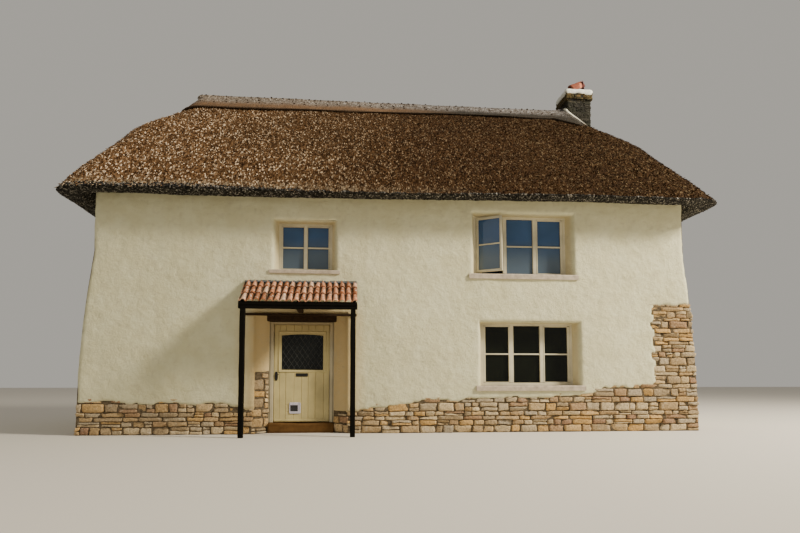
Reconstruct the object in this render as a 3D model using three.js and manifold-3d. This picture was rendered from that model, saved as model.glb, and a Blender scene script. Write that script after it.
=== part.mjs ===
// A two-storey thatched cottage: thick limewashed walls on a stone plinth, a hipped thatched roof,
// a stub chimney at the right end of the ridge and a small tiled porch over a half-glazed door.
// Millimetres, +Z up. The front faces -Y, and the origin is at ground level under the middle.
import * as THREE from "three";
import { mergeVertices } from "three/addons/utils/BufferGeometryUtils.js";
import Module from "manifold-3d";

const wasm = await Module();
wasm.setup();

// Walls
const HALF_LENGTH = 5710; // to the outer face of an end wall, below the eaves
const HALF_DEPTH = 2700; // to the outer face of the front wall
const WALL = 600;
const WALL_TOP = 4600;
const PLINTH_TOP = 790;
const BATTER = 220; // how far an end wall leans out at the ground
const BATTER_TOP = 3400;
const BATTER_POWER = 2.2;
const BATTER_LEVELS = [1500, 2100, 2700];

// Floors
const GROUND_FLOOR_TOP = 200;
const UPPER_FLOOR_TOP = 2500;
const UPPER_FLOOR_THICKNESS = 170;

// Doorway
const DOOR_X = -1910;
const LEAF_WIDTH = 1060;
const LEAF_HEIGHT = 1868;
const LEAF_THICKNESS = 45;
const DOOR_GAP = 6; // running gap round the leaf
const JAMB_WIDTH = 85;
const DOOR_HEAD = 45;
const DOOR_RECESS = 250; // from the wall's face to the face of the frame
const DOOR_FRAME_DEPTH = 90;
const DOOR_SPLAY = 280; // how much wider each side of the opening is at the wall's face
const THRESHOLD_TOP = 195;
const THRESHOLD_REACH = 70; // in front of the door frame
const LINTEL_HEIGHT = 150;
const LINTEL_BEARING = 140;
const LINTEL_REACH = 50;

// Door furniture, measured on the leaf from its middle and its bottom edge
const DOOR_GLASS = { x: 9, width: 824, bottom: 984, height: 716, rise: 25, thickness: 6, seat: 10 };
const LETTER_PLATE = { x: 3, z: 866, width: 232, height: 65, thickness: 8 };
const LATCH = {
  x: -484,
  z: 787,
  width: 60,
  height: 175,
  thickness: 10,
  reach: 55,
  neckSize: 18,
  neckRise: 112,
  lever: { width: 24, height: 108, thickness: 12 },
};
const CAT_DOOR = { x: -122, z: 264, width: 219, height: 217, lip: 14 };
const CAT_OPENING = { x: -141, z: 260, width: 137, height: 119, sleeve: 12 };
const CAT_FLAP = { thickness: 6, gap: 5 };
const KNUCKLE = { radius: 8, height: 80, plate: 3, width: 34, play: 0.3 };
const HINGE_HEIGHTS = [300, 1500];

// Windows: a middle x, a sill level, a width and a height of the frame
const UPPER_LEFT = { x: -1855, z: 3095, width: 1040, height: 965, lights: 2 };
const UPPER_RIGHT = { x: 2413, z: 3080, width: 1900, height: 1220, lights: 3 };
const LOWER_RIGHT = { x: 2528, z: 900, width: 1880, height: 1240, lights: 3 };
const BACK_UPPER = { x: -2430, z: 3095, width: 1790, height: 1205, lights: 3 };
const BACK_LOWER = { x: -2430, z: 960, width: 1790, height: 1180, lights: 3 };
const WINDOW_RECESS = 240;
const WINDOW_SPLAY = 90;
const WINDOW_FRAME = { border: 55, mullion: 70, front: 45, back: 25, rebate: 12, glass: 6 };
const SILL = { side: 148, reach: 60, leftHeight: 75, rightHeight: 105 };
const CASEMENT = { border: 48, thickness: 40, glass: 6, play: 3, rebate: 8, open: 34 };
const CASEMENT_HINGE = { radius: 7, height: 70, strap: 4, low: 180, high: 900 };

// Roof
const EAVES = { halfLength: 6400, halfDepth: 3280, z: 4460 };
const RIDGE = { halfLength: 4450, halfDepth: 60, z: 7600 };
const HIP_BULGE = 250;
const SLOPE_BULGE = 150;
const HIP_RADIUS = 550; // of the rounded hips, seen from above
const ROOF_STEPS = 9;
const CORNER_STEPS = 6;
const THATCH_INSET = { depth: 440, length: 370 }; // level distance through the thatch
const SOFFIT = { z: 4400, halfLength: 6000, halfDepth: 2970, corner: 380 };
const EAVES_LIP = { inset: 60, drop: 40 };
const SKIRT = { clearance: 40, corner: 20, edge: 15 }; // where the eaves hang over the walls
const SEAT_CLEARANCE = 10;
const ATTIC_CORNER = { radius: 150, share: 0.8 }; // no more than this share of the half depth
const SLOPE_REACH = 1.3; // of the areas that part the slopes, as a share of the eaves' distance
const CAP = { thickness: 75, bottom: 7095, top: 7720, crest: 40, steps: 5 };

// Chimney
const STACK = { left: 4325, right: 4900, front: -250, back: 370, bottom: 5300, top: 8100 };
const STACK_HEAD = { out: 42, bottom: 7860, top: 7920, corner: 10 }; // the oversailing top courses
const BREAST = { left: 3950, front: -550, back: 950 };
const CHIMNEY_CAP = { height: 150, crest: 130 };
const HOOD = { left: 4460, right: 4850, peak: 4790, front: -130, back: 190, foot: 8175, shoulder: 8365, top: 8520 };
const HOOD_TILE = { long: 30, short: 26, crown: 44, lean: 4 }; // thickness at the feet and the peak

// Porch
const PORCH = { halfWidth: 1055, projection: 800, top: 2893, front: 2410, tile: 45 };
const POST = { size: 100, inset: 35, setBack: 30 };
const PORCH_BEAM = { bottom: 2260, height: 105, inset: 10 };
const RAFTER = { width: 60, depth: 70, inset: 30 };
const LEDGER = { height: 100, depth: 60, inset: 20 };
const WALL_PLATE = { height: 50, depth: 60 };
const TIE = { width: 100, height: 65 };

const CUT_GAP = 0.3; // between pieces that are cut to fit or turn
const OVERSHOOT = 1; // how far a cutting tool or a joined piece goes past a face
const ROUND_SEGMENTS = 16;
const ARCH_STEPS = 12;
const MERGE_DISTANCE = 1e-3;

const FRONT = -HALF_DEPTH;
const INNER_LENGTH = HALF_LENGTH - WALL;
const INNER_DEPTH = HALF_DEPTH - WALL;

const FINISHES = {
  limewash: { color: 0xd9cda9, roughness: 0.95 },
  stone: { color: 0x857a68, roughness: 0.95 },
  stoneFloor: { color: 0x77706a, roughness: 0.9 },
  boards: { color: 0x7a5c3c, roughness: 0.8 },
  thatch: { color: 0x4f4336, roughness: 1 },
  ridgeThatch: { color: 0x8b7f6c, roughness: 1 },
  mortar: { color: 0xb6b0a4, roughness: 0.95 },
  terracotta: { color: 0xa5583a, roughness: 0.85 },
  paint: { color: 0xe3dcc3, roughness: 0.5 },
  darkTimber: { color: 0x2c241d, roughness: 0.8 },
  blackIron: { color: 0x1d1c1b, roughness: 0.5, metalness: 0.6 },
  plastic: { color: 0xbfb9c4, roughness: 0.5 },
  glass: { color: 0x2c3338, roughness: 0.1 },
  sill: { color: 0x9a8a82, roughness: 0.8 },
};

function finish(name) {
  return new THREE.MeshStandardMaterial({ metalness: 0, ...FINISHES[name] });
}

// Shapes

function box(x0, x1, y0, y1, z0, z1) {
  const geometry = new THREE.BoxGeometry(x1 - x0, y1 - y0, z1 - z0);
  return geometry.translate((x0 + x1) / 2, (y0 + y1) / 2, (z0 + z1) / 2);
}

function outline(points, holes = []) {
  const shape = new THREE.Shape(points.map(([u, v]) => new THREE.Vector2(u, v)));
  shape.holes = holes.map((hole) => new THREE.Path(hole.map(([u, v]) => new THREE.Vector2(u, v))));
  return shape;
}

function rectangle(u0, u1, v0, v1) {
  return [
    [u0, v0],
    [u1, v0],
    [u1, v1],
    [u0, v1],
  ];
}

function extrude(shape, length) {
  return new THREE.ExtrudeGeometry(shape, { depth: length, bevelEnabled: false });
}

// A plan outline raised from z0 to z1.
function raise(points, z0, z1) {
  return extrude(outline(points), z1 - z0).translate(0, 0, z0);
}

// An outline in x and z, taken from y0 back to y1.
function alongY(points, y0, y1, holes = []) {
  return extrude(outline(points, holes), y1 - y0).rotateX(Math.PI / 2).translate(0, y1, 0);
}

// An outline in y and z, taken from x0 to x1.
function alongX(points, x0, x1) {
  const turn = new THREE.Matrix4().makeBasis(
    new THREE.Vector3(0, 1, 0),
    new THREE.Vector3(0, 0, 1),
    new THREE.Vector3(1, 0, 0),
  );
  return extrude(outline(points), x1 - x0).applyMatrix4(turn).translate(x0, 0, 0);
}

function upright(radius, x, y, z0, z1) {
  const geometry = new THREE.CylinderGeometry(radius, radius, z1 - z0, ROUND_SEGMENTS);
  return geometry.rotateX(Math.PI / 2).translate(x, y, (z0 + z1) / 2);
}

function crosswise(radius, x0, x1, y, z) {
  const geometry = new THREE.CylinderGeometry(radius, radius, x1 - x0, ROUND_SEGMENTS);
  return geometry.rotateZ(Math.PI / 2).translate((x0 + x1) / 2, y, z);
}

// Solids

function solid(geometry) {
  const bare = geometry.clone();
  bare.deleteAttribute("normal");
  bare.deleteAttribute("uv");
  const merged = mergeVertices(bare, MERGE_DISTANCE);
  return new wasm.Manifold(
    new wasm.Mesh({
      numProp: 3,
      vertProperties: merged.attributes.position.array,
      triVerts: new Uint32Array(merged.index.array),
    }),
  );
}

function surface(body) {
  const { vertProperties, triVerts } = body.getMesh();
  const geometry = new THREE.BufferGeometry();
  geometry.setAttribute("position", new THREE.BufferAttribute(vertProperties, 3));
  geometry.setIndex(new THREE.BufferAttribute(triVerts, 1));
  const faceted = geometry.toNonIndexed();
  faceted.computeVertexNormals();
  return faceted;
}

function join(...geometries) {
  return surface(geometries.map(solid).reduce((sum, next) => sum.add(next)));
}

function cut(geometry, ...tools) {
  return surface(tools.map(solid).reduce((rest, tool) => rest.subtract(tool), solid(geometry)));
}

const house = new THREE.Group();

function place(name, geometry, finishName, group = house) {
  const mesh = new THREE.Mesh(geometry, finish(finishName));
  mesh.name = name;
  group.add(mesh);
  return mesh;
}

// Walls

// How far an end wall stands out past its upper face at level z.
function batter(z) {
  return z >= BATTER_TOP ? 0 : BATTER * (1 - (z / BATTER_TOP) ** BATTER_POWER);
}

function endWall(side, z0, z1) {
  const levels = [z0, ...BATTER_LEVELS, BATTER_TOP, z1].filter((z) => z >= z0 && z <= z1);
  const outer = levels.map((z) => [side * (HALF_LENGTH + batter(z)), z]);
  const inner = [
    [side * INNER_LENGTH, z1],
    [side * INNER_LENGTH, z0],
  ];
  return alongY([...outer, ...inner], -HALF_DEPTH, HALF_DEPTH);
}

// The plan of the front wall on one side of the doorway, with its splayed reveal.
function besideDoor(side) {
  const frame = DOOR_X + side * (LEAF_WIDTH / 2 + DOOR_GAP + JAMB_WIDTH);
  const end = side * INNER_LENGTH;
  return [
    [end, FRONT],
    [frame + side * DOOR_SPLAY, FRONT],
    [frame, FRONT + DOOR_RECESS],
    [frame, FRONT + WALL],
    [end, FRONT + WALL],
  ];
}

// The hole for a window in a wall whose outer face is at y = face and whose inside is at +y.
function windowHole({ x, z, width, height }, face) {
  const half = width / 2;
  const plan = [
    [x - half - WINDOW_SPLAY, face - OVERSHOOT],
    [x + half + WINDOW_SPLAY, face - OVERSHOOT],
    [x + half, face + WINDOW_RECESS],
    [x + half, face + WALL + OVERSHOOT],
    [x - half, face + WALL + OVERSHOOT],
    [x - half, face + WINDOW_RECESS],
  ];
  return raise(plan, z, z + height);
}

function sillBox({ x, z, width }, height, face) {
  const half = width / 2 + SILL.side;
  const back = face + WINDOW_RECESS + WINDOW_FRAME.front + WINDOW_FRAME.back;
  return box(x - half, x + half, face - SILL.reach, back, z - height, z);
}

const doorHalf = LEAF_WIDTH / 2 + DOOR_GAP + JAMB_WIDTH;
const doorHead = THRESHOLD_TOP + DOOR_GAP + LEAF_HEIGHT + DOOR_GAP + DOOR_HEAD;
const lintelTop = doorHead + LINTEL_HEIGHT;
const lintel = box(
  DOOR_X - doorHalf - LINTEL_BEARING,
  DOOR_X + doorHalf + LINTEL_BEARING,
  FRONT + DOOR_RECESS - LINTEL_REACH,
  FRONT + WALL,
  doorHead,
  lintelTop,
);
const upperRightSill = sillBox(UPPER_RIGHT, SILL.rightHeight, FRONT);
const upperLeftSill = sillBox(UPPER_LEFT, SILL.leftHeight, FRONT);
const lowerRightSill = sillBox(LOWER_RIGHT, SILL.rightHeight, FRONT);

function frontWallBeside(side, ...holes) {
  const mouth = DOOR_X + side * (doorHalf + DOOR_SPLAY);
  const ends = [mouth, side * INNER_LENGTH].sort((a, b) => a - b);
  const above = box(ends[0], ends[1], FRONT, FRONT + WALL, lintelTop, WALL_TOP);
  const whole = join(raise(besideDoor(side), PLINTH_TOP, lintelTop), above);
  return cut(whole, lintel, ...holes);
}

function addWalls() {
  const mouth = doorHalf + DOOR_SPLAY;
  place("front_plinth_left", raise(besideDoor(-1), 0, PLINTH_TOP), "stone");
  place("front_plinth_right", raise(besideDoor(1), 0, PLINTH_TOP), "stone");
  place("back_plinth", box(-INNER_LENGTH, INNER_LENGTH, INNER_DEPTH, HALF_DEPTH, 0, PLINTH_TOP), "stone");
  place("left_plinth", endWall(-1, 0, PLINTH_TOP), "stone");
  place("right_plinth", endWall(1, 0, PLINTH_TOP), "stone");
  place("front_wall_left", frontWallBeside(-1), "limewash");
  const rightHoles = [
    windowHole(UPPER_RIGHT, FRONT),
    upperRightSill,
    windowHole(LOWER_RIGHT, FRONT),
    lowerRightSill,
  ];
  place("front_wall_right", frontWallBeside(1, ...rightHoles), "limewash");
  const over = box(DOOR_X - mouth, DOOR_X + mouth, FRONT, FRONT + WALL, lintelTop, WALL_TOP);
  place("wall_over_door", cut(over, windowHole(UPPER_LEFT, FRONT), upperLeftSill), "limewash");
  const back = box(-INNER_LENGTH, INNER_LENGTH, FRONT, FRONT + WALL, PLINTH_TOP, WALL_TOP);
  const backHoles = [windowHole(BACK_UPPER, FRONT), windowHole(BACK_LOWER, FRONT)];
  place("back_wall", cut(back, ...backHoles).rotateZ(Math.PI), "limewash");
  place("left_end_wall", endWall(-1, PLINTH_TOP, WALL_TOP), "limewash");
  place("right_end_wall", endWall(1, PLINTH_TOP, WALL_TOP), "limewash");
}

function addFloors() {
  const ground = box(-INNER_LENGTH, INNER_LENGTH, -INNER_DEPTH, INNER_DEPTH, 0, GROUND_FLOOR_TOP);
  place("ground_floor", ground, "stoneFloor");
  const bottom = UPPER_FLOOR_TOP - UPPER_FLOOR_THICKNESS;
  const plan = [
    [-INNER_LENGTH, -INNER_DEPTH],
    [INNER_LENGTH, -INNER_DEPTH],
    [INNER_LENGTH, BREAST.front],
    [BREAST.left, BREAST.front],
    [BREAST.left, BREAST.back],
    [INNER_LENGTH, BREAST.back],
    [INNER_LENGTH, INNER_DEPTH],
    [-INNER_LENGTH, INNER_DEPTH],
  ];
  place("upper_floor", raise(plan, bottom, UPPER_FLOOR_TOP), "boards");
}

// Roof

function slopeShare(z) {
  return (z - EAVES.z) / (RIDGE.z - EAVES.z);
}

// The level outline of the thatch's outer face at height z: half sizes and corner radius.
function outerSection(z) {
  const t = slopeShare(z);
  const swell = 4 * t * (1 - t);
  const halfLength = THREE.MathUtils.lerp(EAVES.halfLength, RIDGE.halfLength, t) + HIP_BULGE * swell;
  const halfDepth = THREE.MathUtils.lerp(EAVES.halfDepth, RIDGE.halfDepth, t) + SLOPE_BULGE * swell;
  return { z, halfLength, halfDepth, corner: Math.min(HIP_RADIUS, halfDepth) };
}

// Points round a rectangle with round corners, the same number at every level.
function ring({ z, halfLength, halfDepth, corner }) {
  const points = [];
  for (let quarter = 0; quarter < 4; quarter += 1) {
    const middleX = (quarter === 0 || quarter === 3 ? 1 : -1) * (halfLength - corner);
    const middleY = (quarter < 2 ? 1 : -1) * (halfDepth - corner);
    for (let step = 0; step <= CORNER_STEPS; step += 1) {
      const angle = ((quarter + step / CORNER_STEPS) * Math.PI) / 2;
      points.push([middleX + corner * Math.cos(angle), middleY + corner * Math.sin(angle), z]);
    }
  }
  return points;
}

// A closed skin through level sections, from the lowest to the highest.
function loft(sections) {
  const rings = sections.map(ring);
  const count = rings[0].length;
  const faces = [];
  for (let level = 0; level + 1 < rings.length; level += 1) {
    for (let i = 0; i < count; i += 1) {
      const j = (i + 1) % count;
      const low = level * count;
      const high = low + count;
      faces.push(low + i, low + j, high + j, low + i, high + j, high + i);
    }
  }
  const top = (rings.length - 1) * count;
  for (let i = 1; i + 1 < count; i += 1) {
    faces.push(0, i + 1, i, top, top + i, top + i + 1);
  }
  const geometry = new THREE.BufferGeometry();
  geometry.setAttribute("position", new THREE.Float32BufferAttribute(rings.flat(2), 3));
  geometry.setIndex(faces);
  return geometry;
}

function grown(section, outward, upward) {
  return {
    z: section.z + upward,
    halfLength: section.halfLength + outward,
    halfDepth: section.halfDepth + outward,
    corner: section.corner + outward,
  };
}

function levels(low, high, steps) {
  return Array.from({ length: steps + 1 }, (_, i) => low + ((high - low) * i) / steps);
}

function roofSections() {
  return levels(EAVES.z, RIDGE.z, ROOF_STEPS).map(outerSection);
}

// The room under the thatch, which narrows upwards from the tops of the walls.
function attic() {
  const crown = RIDGE.z - (THATCH_INSET.depth * (RIDGE.z - EAVES.z)) / EAVES.halfDepth;
  const sections = levels(WALL_TOP, crown, ROOF_STEPS).map((z) => {
    const outside = outerSection(z);
    const halfDepth = Math.min(INNER_DEPTH + SEAT_CLEARANCE, outside.halfDepth - THATCH_INSET.depth);
    const halfLength = Math.min(INNER_LENGTH + SEAT_CLEARANCE, outside.halfLength - THATCH_INSET.length);
    const corner = Math.min(ATTIC_CORNER.radius, halfDepth * ATTIC_CORNER.share);
    return { z, halfLength, halfDepth, corner };
  });
  return loft([{ ...sections[0], z: WALL_TOP - OVERSHOOT }, ...sections]);
}

// The thatch of all four slopes, hollow over the walls, with a hole for the chimney stack.
function thatchShell() {
  const lip = grown(outerSection(EAVES.z), -EAVES_LIP.inset, -EAVES_LIP.drop);
  const skin = loft([SOFFIT, lip, ...roofSections()]);
  const wallHeads = {
    z: WALL_TOP,
    halfLength: HALF_LENGTH + SKIRT.clearance,
    halfDepth: HALF_DEPTH + SKIRT.clearance,
    corner: SKIRT.corner,
  };
  const skirt = loft([grown(SOFFIT, -SKIRT.edge, -SEAT_CLEARANCE), wallHeads]);
  return cut(skin, skirt, attic(), stackSolid(CUT_GAP));
}

// The plan areas of the four slopes, which meet over the hips.
function slopePlans() {
  const x = RIDGE.halfLength + (EAVES.halfLength - RIDGE.halfLength) * SLOPE_REACH;
  const y = EAVES.halfDepth * SLOPE_REACH;
  const end = RIDGE.halfLength;
  const hip = (side) => [
    [side * (end + CUT_GAP), 0],
    [side * (x + CUT_GAP), -side * y],
    [side * (x + CUT_GAP), side * y],
  ];
  const slope = (side) => [
    [side * end, 0],
    [side * x, side * y],
    [-side * x, side * y],
    [-side * end, 0],
  ];
  return {
    thatch_front: slope(-1),
    thatch_back: slope(1),
    thatch_left_hip: hip(-1),
    thatch_right_hip: hip(1),
  };
}

function ridgeCap() {
  const heights = levels(CAP.bottom, RIDGE.z, CAP.steps);
  const sections = heights.map((z) => grown(outerSection(z), CAP.thickness, 0));
  const crest = { z: CAP.top, halfLength: RIDGE.halfLength, halfDepth: CAP.crest, corner: CAP.crest };
  const cover = loft([...sections, crest]);
  const beyond = box(STACK.right, EAVES.halfLength, -EAVES.halfDepth, EAVES.halfDepth, 0, STACK.top);
  const roof = loft(roofSections().map((section) => grown(section, CUT_GAP, CUT_GAP)));
  return cut(cover, roof, beyond, stackSolid(CUT_GAP));
}

function addRoof() {
  const shell = solid(thatchShell());
  for (const [name, plan] of Object.entries(slopePlans())) {
    const slope = shell.intersect(solid(raise(plan, 0, CAP.top + OVERSHOOT)));
    place(name, surface(slope), "thatch");
  }
  place("ridge_cap", ridgeCap(), "ridgeThatch");
}

// Chimney

const stackX = (STACK.left + STACK.right) / 2;
const stackY = (STACK.front + STACK.back) / 2;

// The stack with its oversailing head; gap widens the shaft where the thatch is cut round it.
function stackSolid(gap) {
  const { left, right, front, back, bottom } = STACK;
  const shaft = box(left - gap, right + gap, front - gap, back + gap, bottom, STACK_HEAD.bottom);
  const neck = stackSection(0, STACK_HEAD.bottom);
  const shoulder = stackSection(STACK_HEAD.out, STACK_HEAD.top);
  const head = loft([neck, shoulder, stackSection(STACK_HEAD.out, STACK.top)]);
  return join(shaft, head.translate(stackX, stackY, 0));
}

// A level section round the middle of the stack, standing out from its sides.
function stackSection(out, z) {
  const halfLength = (STACK.right - STACK.left) / 2 + out;
  const halfDepth = (STACK.back - STACK.front) / 2 + out;
  return { z, halfLength, halfDepth, corner: STACK_HEAD.corner };
}

function addChimney() {
  const breast = box(BREAST.left, INNER_LENGTH, BREAST.front, BREAST.back, GROUND_FLOOR_TOP, STACK.bottom);
  place("chimney_breast", breast, "limewash");
  place("chimney_stack", stackSolid(0), "stone");
  const foot = stackSection(STACK_HEAD.out, STACK.top);
  const { height, crest: half } = CHIMNEY_CAP;
  const crest = { ...foot, z: STACK.top + height, halfLength: half, halfDepth: half };
  const cap = loft([foot, crest]).translate(stackX, stackY, 0);
  place("chimney_cap", cap, "mortar");

  // Two ridge tiles lean together over the flue, a flat one with deep sides against a steep one. Their feet are
  // cut to the slopes of the cap.
  const profile = [
    [HOOD.left, HOOD.foot],
    [HOOD.left + HOOD_TILE.long, HOOD.foot],
    [HOOD.left + HOOD_TILE.long, HOOD.shoulder - HOOD_TILE.crown],
    [HOOD.peak - HOOD_TILE.lean, HOOD.top - HOOD_TILE.crown],
    [HOOD.right - HOOD_TILE.short, HOOD.foot],
    [HOOD.right, HOOD.foot],
    [HOOD.peak, HOOD.top],
    [HOOD.left, HOOD.shoulder],
  ];
  const bed = cap.clone().translate(0, 0, CUT_GAP);
  place("chimney_hood", cut(alongY(profile, HOOD.front, HOOD.back), bed), "terracotta");
}

// Door

const leafRight = LEAF_WIDTH / 2;
const frameY = FRONT + DOOR_RECESS;
const leafFront = frameY + DOOR_FRAME_DEPTH - LEAF_THICKNESS;
const leafBack = frameY + DOOR_FRAME_DEPTH;
const leafBottom = THRESHOLD_TOP + DOOR_GAP;
const hingeX = leafRight + DOOR_GAP / 2;
const hingeY = leafBack + KNUCKLE.radius;

// A knuckle on the hinge axis with the plate that holds it, towards side.
function knuckle(side, z0, z1) {
  const ends = [hingeX, hingeX + side * KNUCKLE.width].sort((a, b) => a - b);
  const plate = box(ends[0], ends[1], leafBack, leafBack + KNUCKLE.plate, z0, z1);
  return join(upright(KNUCKLE.radius, hingeX, hingeY, z0, z1), plate);
}

function doorFrame() {
  const half = doorHalf;
  const inner = half - JAMB_WIDTH;
  const profile = [
    [-half, THRESHOLD_TOP],
    [-inner, THRESHOLD_TOP],
    [-inner, doorHead - DOOR_HEAD],
    [inner, doorHead - DOOR_HEAD],
    [inner, THRESHOLD_TOP],
    [half, THRESHOLD_TOP],
    [half, doorHead],
    [-half, doorHead],
  ];
  const knuckles = HINGE_HEIGHTS.flatMap((height) => {
    const low = leafBottom + height;
    const lower = knuckle(1, low - KNUCKLE.height / 2, low);
    const upper = knuckle(1, low + KNUCKLE.height, low + KNUCKLE.height + KNUCKLE.height / 2);
    return [lower, upper];
  });
  return join(alongY(profile, frameY, frameY + DOOR_FRAME_DEPTH), ...knuckles);
}

function archedPane(pane, grow) {
  const half = pane.width / 2 + grow;
  const low = pane.bottom - grow;
  const spring = pane.bottom + pane.height - pane.rise + grow;
  const radius = (half * half + pane.rise * pane.rise) / (2 * pane.rise);
  const sweep = Math.asin(half / radius);
  const arch = Array.from({ length: ARCH_STEPS + 1 }, (_, i) => {
    const angle = sweep - (2 * sweep * i) / ARCH_STEPS;
    return [pane.x + radius * Math.sin(angle), spring + pane.rise - radius + radius * Math.cos(angle)];
  });
  return [[pane.x - half, low], [pane.x + half, low], ...arch];
}

// The outline of a size round its middle, grown on all sides.
function around({ x, z, width, height }, grow) {
  const [halfWidth, halfHeight] = [width / 2 + grow, height / 2 + grow];
  return rectangle(x - halfWidth, x + halfWidth, z - halfHeight, z + halfHeight);
}

function doorLeaf() {
  const plank = box(-leafRight, leafRight, leafFront, leafBack, leafBottom, leafBottom + LEAF_HEIGHT);
  const middle = (leafFront + leafBack) / 2;
  const rebate = DOOR_GLASS.thickness / 2;
  const light = alongY(archedPane(DOOR_GLASS, -DOOR_GLASS.seat), leafFront - OVERSHOOT, leafBack + OVERSHOOT);
  const groove = alongY(archedPane(DOOR_GLASS, 0), middle - rebate, leafBack + OVERSHOOT);
  const sleeve = around(CAT_OPENING, CAT_OPENING.sleeve);
  const catHole = alongY(sleeve, leafFront - OVERSHOOT, leafBack + OVERSHOOT);
  const openings = [light, groove, catHole].map((opening) => opening.translate(0, 0, leafBottom));
  const knuckles = HINGE_HEIGHTS.map((rise) => {
    const low = leafBottom + rise + KNUCKLE.play;
    return knuckle(-1, low, low + KNUCKLE.height - 2 * KNUCKLE.play);
  });
  return join(cut(plank, ...openings), ...knuckles);
}

function catDoorFrame() {
  const inside = around(CAT_OPENING, 0);
  const face = alongY(around(CAT_DOOR, 0), leafFront - CAT_DOOR.lip, leafFront, [inside]);
  const tunnel = alongY(around(CAT_OPENING, CAT_OPENING.sleeve), leafFront - OVERSHOOT, leafBack, [inside]);
  return join(face, tunnel);
}

function catFlap() {
  const { x, z, height, width } = CAT_OPENING;
  const { thickness, gap } = CAT_FLAP;
  const middle = (leafFront + leafBack) / 2;
  const plate = alongY(around(CAT_OPENING, -gap), middle - thickness / 2, middle + thickness / 2);
  const reach = width / 2 - KNUCKLE.play;
  const pin = crosswise(thickness / 2, x - reach, x + reach, middle, z + height / 2 - gap - thickness / 2);
  return join(plate, pin);
}

function addDoor() {
  const half = doorHalf;
  place("door_lintel", lintel, "darkTimber");
  const stone = box(DOOR_X - half, DOOR_X + half, frameY - THRESHOLD_REACH, -INNER_DEPTH, 0, THRESHOLD_TOP);
  place("door_threshold", stone, "stone");
  const door = new THREE.Group();
  door.position.x = DOOR_X;
  house.add(door);
  place("door_frame", doorFrame(), "paint", door);
  place("door_leaf", doorLeaf(), "paint", door);
  const paneFront = (leafFront + leafBack - DOOR_GLASS.thickness) / 2;
  const pane = alongY(archedPane(DOOR_GLASS, 0), paneFront, paneFront + DOOR_GLASS.thickness);
  place("door_glass", pane.translate(0, 0, leafBottom), "glass", door);

  const letter = LETTER_PLATE;
  const letterSolid = box(
    letter.x - letter.width / 2,
    letter.x + letter.width / 2,
    leafFront - letter.thickness,
    leafFront,
    leafBottom + letter.z,
    leafBottom + letter.z + letter.height,
  );
  place("letter_plate", letterSolid, "blackIron", door);

  const low = leafBottom + LATCH.z;
  const back = box(
    LATCH.x - LATCH.width / 2,
    LATCH.x + LATCH.width / 2,
    leafFront - LATCH.thickness,
    leafFront,
    low,
    low + LATCH.height,
  );
  const { x, reach, neckSize, lever } = LATCH;
  const neckLow = low + LATCH.neckRise;
  const halfNeck = neckSize / 2;
  const neck = box(x - halfNeck, x + halfNeck, leafFront - reach, leafFront, neckLow, neckLow + neckSize);
  const handle = box(
    x - lever.width / 2,
    x + lever.width / 2,
    leafFront - reach - lever.thickness,
    leafFront - reach + OVERSHOOT,
    neckLow + neckSize - lever.height,
    neckLow + neckSize,
  );
  place("door_latch", join(back, neck, handle), "blackIron", door);

  const catDoor = new THREE.Group();
  catDoor.position.z = leafBottom;
  door.add(catDoor);
  place("cat_door_frame", catDoorFrame(), "plastic", catDoor);
  place("cat_flap", catFlap(), "glass", catDoor);
}

// Porch

function addPorch() {
  const left = DOOR_X - PORCH.halfWidth;
  const right = DOOR_X + PORCH.halfWidth;
  const pitch = Math.atan2(PORCH.top - PORCH.front, PORCH.projection);
  const drop = PORCH.tile / Math.cos(pitch);
  const edge = FRONT - PORCH.projection;
  const tiles = [
    [FRONT, PORCH.top],
    [edge, PORCH.front],
    [edge, PORCH.front - drop],
    [FRONT, PORCH.top - drop],
  ];
  place("porch_tiles", alongX(tiles, left, right), "terracotta");

  const slopeAt = (y) => PORCH.front - drop + (y - edge) * Math.tan(pitch);
  const postFront = edge + POST.setBack;
  const postBack = postFront + POST.size;
  const beamTop = PORCH_BEAM.bottom + PORCH_BEAM.height;
  const [beamLeft, beamRight] = [left + PORCH_BEAM.inset, right - PORCH_BEAM.inset];
  const beam = box(beamLeft, beamRight, postFront, postBack, PORCH_BEAM.bottom, beamTop);
  place("porch_front_beam", beam, "darkTimber");
  const posts = { left: left + POST.inset, right: right - POST.inset - POST.size };
  for (const [name, x] of Object.entries(posts)) {
    const post = box(x, x + POST.size, postFront, postBack, 0, PORCH_BEAM.bottom);
    place(`porch_post_${name}`, post, "darkTimber");
  }

  const ledgerFront = FRONT - LEDGER.depth;
  const ledgerTop = slopeAt(ledgerFront);
  const [ledgerLeft, ledgerRight] = [left + LEDGER.inset, right - LEDGER.inset];
  const ledger = box(ledgerLeft, ledgerRight, ledgerFront, FRONT, ledgerTop - LEDGER.height, ledgerTop);
  place("porch_ledger", ledger, "darkTimber");

  const rafterProfile = [
    [ledgerFront, ledgerTop],
    [postFront, slopeAt(postFront)],
    [postFront, beamTop],
    [postBack, beamTop],
    [ledgerFront, ledgerTop - RAFTER.depth],
  ];
  const rafters = {
    left: left + RAFTER.inset,
    middle: DOOR_X - RAFTER.width / 2,
    right: right - RAFTER.inset - RAFTER.width,
  };
  for (const [name, x] of Object.entries(rafters)) {
    place(`porch_rafter_${name}`, alongX(rafterProfile, x, x + RAFTER.width), "darkTimber");
  }

  const plateTop = PORCH_BEAM.bottom;
  const plateFront = FRONT - WALL_PLATE.depth;
  const plate = box(beamLeft, beamRight, plateFront, FRONT, plateTop - WALL_PLATE.height, plateTop);
  place("porch_wall_plate", plate, "darkTimber");
  const halfTie = TIE.width / 2;
  const tie = box(DOOR_X - halfTie, DOOR_X + halfTie, postBack, FRONT, plateTop, plateTop + TIE.height);
  place("porch_tie", tie, "darkTimber");
}

// Windows, each built round the middle of its sill with its face at y = 0

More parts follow.
